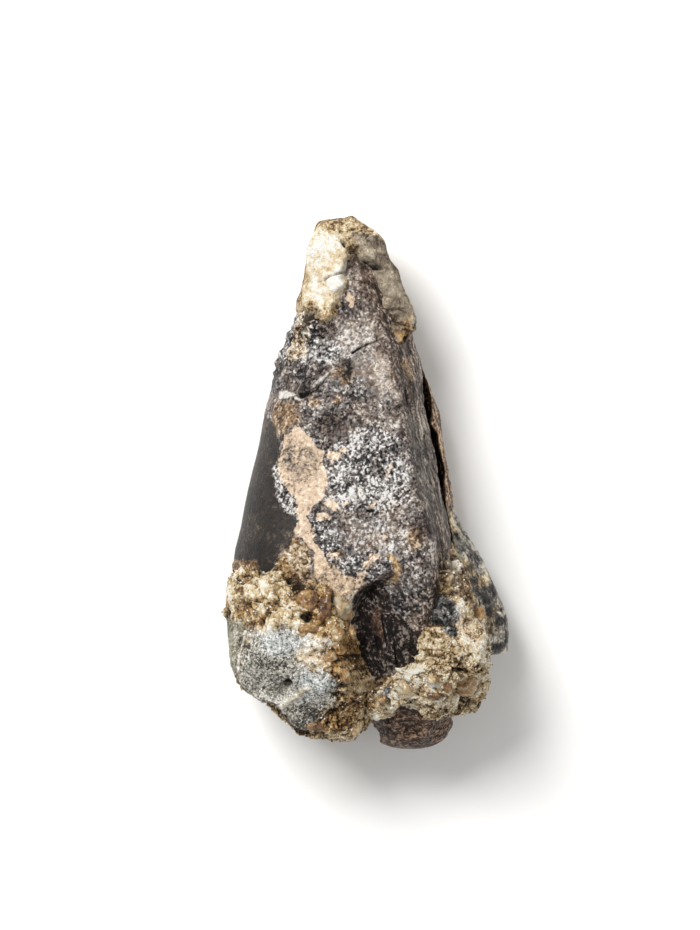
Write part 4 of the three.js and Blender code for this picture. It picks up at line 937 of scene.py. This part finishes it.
gloss = add(tree, "MapRange", inputs={0: pattern["fine"], 3: 0.5, 4: 0.9}).outputs[0]
finish(tree, colour, gloss, raised, bump_mm=0.14, ior=1.54, shine=0.25)


def ball_ways(fall, columns):
    """Directions all round: each row keeps an angle of fall from -Y, and turns round Y from +X to +Z."""
    turn = 2 * np.pi * np.arange(columns)[None, :] / columns
    return np.stack([np.sin(fall) * np.cos(turn), -np.cos(fall) + 0 * turn, np.sin(fall) * np.sin(turn)], -1)


def block_points(block):
    """A broken block: from its centre a ray goes out in every direction, to the nearest of its faces and
    chips, their corners rounded by the same power sum, plus lumps of 3.4 and 1.5 mm and the grains."""
    rows, columns = block["grid"]
    faces = [np.append(np.array(face[:3]) / np.linalg.norm(face[:3]), face[3]) for face in block["faces"]]
    for n in range(block["chips"]):
        height, turned, size = (scatter(n, block["seed"], draw) for draw in (1, 2, 3))
        height, turned = 2 * height - 1, 2 * np.pi * turned
        flat = np.sqrt(1 - height * height)
        normal = np.array([np.cos(turned) * flat, np.sin(turned) * flat, height])
        reach = np.linalg.norm(normal * block["reach"]) * (0.9 + 0.22 * size)
        faces.append(np.append(normal, reach))
    ways = ball_ways(np.pi * np.arange(rows + 1)[:, None] / rows, columns)
    total = 0
    for face in faces:
        total = total + (np.maximum(ways @ face[:3], 0) / face[3]) ** BLOCK_SHARPNESS
    reach = total ** (-1 / BLOCK_SHARPNESS)
    x, y, z = np.moveaxis(np.array(block["centre"]) + ways * reach[..., None], -1, 0)
    grain_relief, fields = grainy(x, y, z, ease(0.1, 0.5, ways[..., 2]))
    reach = reach + 0.5 * lump(x / 3.4, y / 3.4, z / 3.4) + 0.28 * lump(x / 1.5, y / 1.5, z / 1.5)
    reach = reach + grain_relief
    pit = 1 - ease(0.3, 1, np.hypot(x - STONE_PIT["x"], y - STONE_PIT["y"]) / STONE_PIT["radius"])
    reach = reach - STONE_PIT["depth"] * pit * ease(0.4, 0.8, ways[..., 2])
    points = break_away(np.array(block["centre"]) + ways * reach[..., None])
    points[..., 2] = np.maximum(points[..., 2], 0)
    fields = {key: values[1:-1] for key, values in fields.items()}
    return closed_skin(points[1:-1], points[0, 0], points[-1, 0], fields)


BACK = {
    "y": [-20.5, -15, -8, 0, 6, 12, 17.5],
    "left": [-6.0, -9.2, -10.8, -10.0, -8.8, -7.4, -5.8],
    "right": [7.5, 9.0, 8.8, 7.0, 5.4, 3.8, 1.8],
    "floor": [1.0, -0.6, -1.1, -1.0, -0.2, 0.9, 2.0],
    "top": [6.0, 6.0, 6.0, 6.0, 6.0, 6.0, 6.4],
}
BACK_CAP = 3.0
BACK_ROWS, BACK_COLUMNS = 260, 260


def back_section(s):
    """The back layer's six-sided section, flat below and above."""
    width = s["right"] - s["left"]
    corners = [
        (s["left"] + 0.16 * width, s["floor"]),
        (s["right"] - 0.16 * width, s["floor"]),
        (s["right"], s["floor"] + 1.9),
        (s["right"] - 0.1 * width, s["top"]),
        (s["left"] + 0.1 * width, s["top"]),
        (s["left"], s["floor"] + 1.9),
    ]
    return corners, ((s["left"] + s["right"]) / 2, s["floor"] + 0.45 * (s["top"] - s["floor"]))


def back_points():
    """The layer under the tooth's back, swept along Y, with lumps of 3.2 mm and grains. What would reach
    below the ground is flat on it."""
    turn = 2 * np.pi * np.arange(BACK_COLUMNS)[None, :] / BACK_COLUMNS
    _, centre, across, up, plain, (x, y, z) = rays_along(BACK, back_section, BACK_ROWS, turn)
    grain_relief, fields = grainy(x, y, z, 0 * x)
    relief = 0.6 * lump(x / 3.2, y / 3.2, z / 3.2) + grain_relief
    reach = (plain + relief) * cap_share(BACK, y, BACK_CAP)
    rings = np.stack([centre[0] + across * reach, y, np.maximum(centre[1] + up * reach, 0)], -1)
    return closed_skin(rings, *row_middles(BACK, centre), fields)


left, right, tip = (block_points(block) for block in (LEFT_BLOCK, RIGHT_BLOCK, TIP_CRUST))
for side, skin in {"left": left, "right": right, "tip": tip, "back": back_points()}.items():
    make_piece("sandstone_" + side, *skin, "sandstone", "matrix", sandstone)


# Pebbles
# Small worn pebbles of quartz cemented in the sandstone, clear or stained honey to rust by iron. Each is a
# place in mm, its half sizes, its turn in degrees and how stained it is, from 0 for clear to 1.
PEBBLES = [
    (-2.9, -12.2, 1.4, 1.6, 10, 0.06), (-6.1, -11.6, 1.2, 0.9, 0, 0.4), (-4.5, -12.4, 0.8, 1.4, -8, 0.5),
    (-6.0, -14.2, 0.9, 0.6, 5, 0.3), (-3.3, -14.8, 0.85, 0.7, 20, 0.14), (-1.7, -14.7, 0.4, 0.8, 0, 0.3),
    (9.5, -19.6, 1.2, 1.3, 25, 0.24), (6.4, -20.9, 0.7, 0.35, -12, 0.46), (3.7, -20.2, 1.1, 0.9, 0, 0.04),
    (10.9, -12.9, 0.55, 0.8, 10, 0.24), (-1.2, -24.2, 0.45, 0.75, -25, 0.1),
    (-5.4, -23.9, 0.95, 0.5, -10, 0.4), (6.3, -5.9, 0.5, 1.1, 12, 0.0), (-4.1, -10.7, 0.5, 0.4, 15, 0.4),
    (7.6, -19.9, 0.5, 0.7, 0, 0.5), (8.6, -16.4, 0.45, 0.35, 20, 0.1), (-3.8, -17.0, 0.7, 0.6, 30, 0.2),
    (-2.4, -18.8, 0.5, 0.7, 0, 0.3), (1.2, -21.2, 0.5, 0.4, 0, 0.3), (6.2, -19.2, 0.6, 0.5, 10, 0.04),
    (-9.6, -9.6, 0.5, 0.4, 20, 0.12),
]
PEBBLE_ROWS, PEBBLE_COLUMNS = 24, 40
PEBBLE_SUNK = 0.68
SEARCH_MM = 0.35

# Worn vein quartz: cloudy, with a little light going through it, and glossy where the sand has rubbed it.
# Iron has stained it along veins.
pebble_quartz, tree, pattern = start_finish("iron_stained_quartz", 0.4, [
    ("fine", 0.2, 0.6, 0.2, (1, 1, 1), 0),
    ("cloud", 0.8, 0.7, 0.15, (1, 1, 1), 0),
])
stain = add(tree, "Attribute", {"attribute_name": "stain"}).outputs["Fac"]
veined = add(tree, "Math", {"operation": "MULTIPLY_ADD"}, {0: pattern["cloud"], 1: 0.5, 2: stain}).outputs[0]
STAINED_QUARTZ = ["#dedbd2", "#d8c7a2", "#bc935c", "#7d5738", "#3b2a22"]
colour = add(tree, "ValToRGB", inputs={0: veined}, hexes=STAINED_QUARTZ).outputs[0]
finish(tree, colour, 0.22, pattern["dome"], bump_mm=0.1, ior=1.544, clear=0.4)


def pebble_points(skins):
    """Each pebble is a ball squeezed to its half sizes, with lumps on it, turned, and sunk by two thirds of
    its half height below the highest point of the stone's skins near its place."""
    stone = np.concatenate(skins)
    ways = ball_ways(np.pi * (np.arange(PEBBLE_ROWS)[:, None] + 0.5) / PEBBLE_ROWS, PEBBLE_COLUMNS)
    all_points, all_faces, stains, used = [], [], [], 0
    for n, (x, y, half_x, half_y, degrees, stained_by) in enumerate(PEBBLES):
        near = np.hypot(stone[:, 0] - x, stone[:, 1] - y) < SEARCH_MM
        half_z = min(half_x, half_y)
        top = stone[near, 2].max()
        c, s = np.cos(np.radians(degrees)), np.sin(np.radians(degrees))
        spin = np.array([[c, s, 0], [-s, c, 0], [0, 0, 1]])
        size = 1 + 0.3 * rubble(ways[..., 0] + 5 * n, ways[..., 1], ways[..., 2], 0.8, 3)
        middle = np.array([x, y, top - PEBBLE_SUNK * half_z])
        ball = ways * size[..., None] * (half_x, half_y, half_z) @ spin + middle
        ends = [np.array([0, side * half_y, 0]) @ spin + middle for side in (-1, 1)]
        points, faces, _ = closed_skin(ball, *ends)
        all_points.append(points)
        all_faces.append(faces + used)
        stains.append(np.full(len(points), stained_by))
        used += len(points)
    return np.concatenate(all_points), np.concatenate(all_faces), {"stain": np.concatenate(stains)}


make_piece("quartz_pebbles", *pebble_points([left[0], right[0]]), "sandstone", "matrix", pebble_quartz)


# Sand grains
# Single grains of quartz, feldspar and iron-stained sand, 0.15 to 0.4 mm across, that stand proud of the
# broken stone. They are cemented to it. Their flat faces are what glints.
GRAIN_COUNT = 6000
GRAIN_SEED = 5
GRAIN_MARGIN = 0.15
GRAIN_HALF_SIZE = (0.07, 0.19)
GRAIN_CORNERS = [(0, 2, 4), (2, 1, 4), (1, 3, 4), (3, 0, 4), (2, 0, 5), (1, 2, 5), (3, 1, 5), (0, 3, 5)]

# Fresh faces of quartz and feldspar: clear to iron brown, and glossier than the cement.
sand, tree, pattern = start_finish("loose_quartz_sand", 0.2, [("fine", 0.15, 0.6, 0.2, (1, 1, 1), 0)])
tone = add(tree, "Attribute", {"attribute_name": "tone"}).outputs["Fac"]
dusted = add(tree, "Math", {"operation": "MULTIPLY_ADD"}, {0: pattern["fine"], 1: 0.12, 2: tone}).outputs[0]
GRAIN_TONES = ["#2a1a0e", "#6b4826", "#a88555", "#cbb48b", "#e7dac0", "#ffffff"]
colour = add(tree, "ValToRGB", inputs={0: dusted}, hexes=GRAIN_TONES).outputs[0]
finish(tree, colour, 0.32, pattern["fine"], bump_mm=0.02, ior=1.54, clear=0.12)


def sand_points(blocks):
    """Grains at random points of the blocks' skins, outside the fine grey parts, the slate patches and the
    holes. A point's chance is its distance from the block's middle line, as points crowd near its ends. A
    grain is an octahedron: three axes at right angles, each of its own random length."""
    random = np.random.default_rng(GRAIN_SEED)
    places, weights = [], []
    for block, (points, _, fields) in blocks:
        smooth = ("grey_stone", "green_facet", "slate_patch", "black_holes")
        bare = np.max([fields[key] for key in smooth], axis=0) < -GRAIN_MARGIN
        places.append(points[bare])
        weights.append(np.hypot(points[bare, 0] - block["centre"][0], points[bare, 2] - block["centre"][2]))
    places, weights = np.concatenate(places), np.concatenate(weights)
    centres = places[random.choice(len(places), GRAIN_COUNT, p=weights / weights.sum())]
    first, second = random.normal(size=(2, GRAIN_COUNT, 3))
    first = first / np.linalg.norm(first, axis=1)[:, None]
    second = np.cross(first, second)
    second = second / np.linalg.norm(second, axis=1)[:, None]
    axes = np.stack([first, second, np.cross(first, second)], 1)
    low, high = GRAIN_HALF_SIZE
    axes = axes * (low + (high - low) * random.random((GRAIN_COUNT, 3, 1)) ** 2)
    corners = np.stack([axes, -axes], 2).reshape(GRAIN_COUNT, 6, 3) + centres[:, None]
    faces = (np.array(GRAIN_CORNERS)[None] + 6 * np.arange(GRAIN_COUNT)[:, None, None]).reshape(-1, 3)
    return corners.reshape(-1, 3), faces, {"tone": np.repeat(random.random(GRAIN_COUNT), 6)}


grains = sand_points([(LEFT_BLOCK, left), (RIGHT_BLOCK, right)])
grains = make_piece("sand_grains", *grains, "sandstone", "matrix", sand)
grains.data.polygons.foreach_set("use_smooth", np.zeros(len(grains.data.polygons), bool))


# Setting
# A plain pale floor, a soft lamp high on the upper left and an even pale surround, as on a white table near
# a window. It is only there for the picture.
FLOOR_HALF = 0.6
FLOOR_DROP = 0.02 * MM
SURROUND_STRENGTH = 0.43
sides = ((-1, -1), (1, -1), (1, 1), (-1, 1))
floor_corners = [(x * FLOOR_HALF, y * FLOOR_HALF, -FLOOR_DROP) for x, y in sides]
floor_mesh = bpy.data.meshes.new("floor")
floor_mesh.from_pydata(floor_corners, [], [(0, 1, 2, 3)])
# Uncoated card: pale, matt and nearly flat
card, tree, pattern = start_finish("matt_white_card", 1.0, [("fine", 0.5, 0.6, 0.2, (1, 1, 1), 0)])
finish(tree, linear("#f4f3f1"), 0.9, pattern["fine"], bump_mm=0.002, ior=1.45, shine=0.3)
floor_mesh.materials.append(card)
floor = bpy.data.objects.new("floor", floor_mesh)
bpy.context.scene.collection.objects.link(floor)


def lamp(name, place, size, power, aim=(0, 0, 8 * MM)):
    """A square soft lamp at a place in metres, turned towards its aim."""
    data = bpy.data.lights.new(name, "AREA")
    data.shape = "SQUARE"
    data.size = size
    data.energy = power
    piece = bpy.data.objects.new(name, data)
    piece.location = place
    piece.rotation_euler = (Vector(aim) - Vector(place)).to_track_quat("-Z", "Y").to_euler()
    bpy.context.scene.collection.objects.link(piece)


lamp("key_lamp", place=(-0.2, 0.24, 0.42), size=0.22, power=3.05)
lamp("fill_lamp", place=(0.35, -0.1, 0.4), size=0.4, power=0.5)
world = bpy.data.worlds.new("surround")
world.use_nodes = True
world.node_tree.nodes["Background"].inputs[0].default_value = linear("#ffffff")
world.node_tree.nodes["Background"].inputs[1].default_value = SURROUND_STRENGTH
bpy.context.scene.world = world
bpy.context.scene.view_settings.view_transform = "Standard"
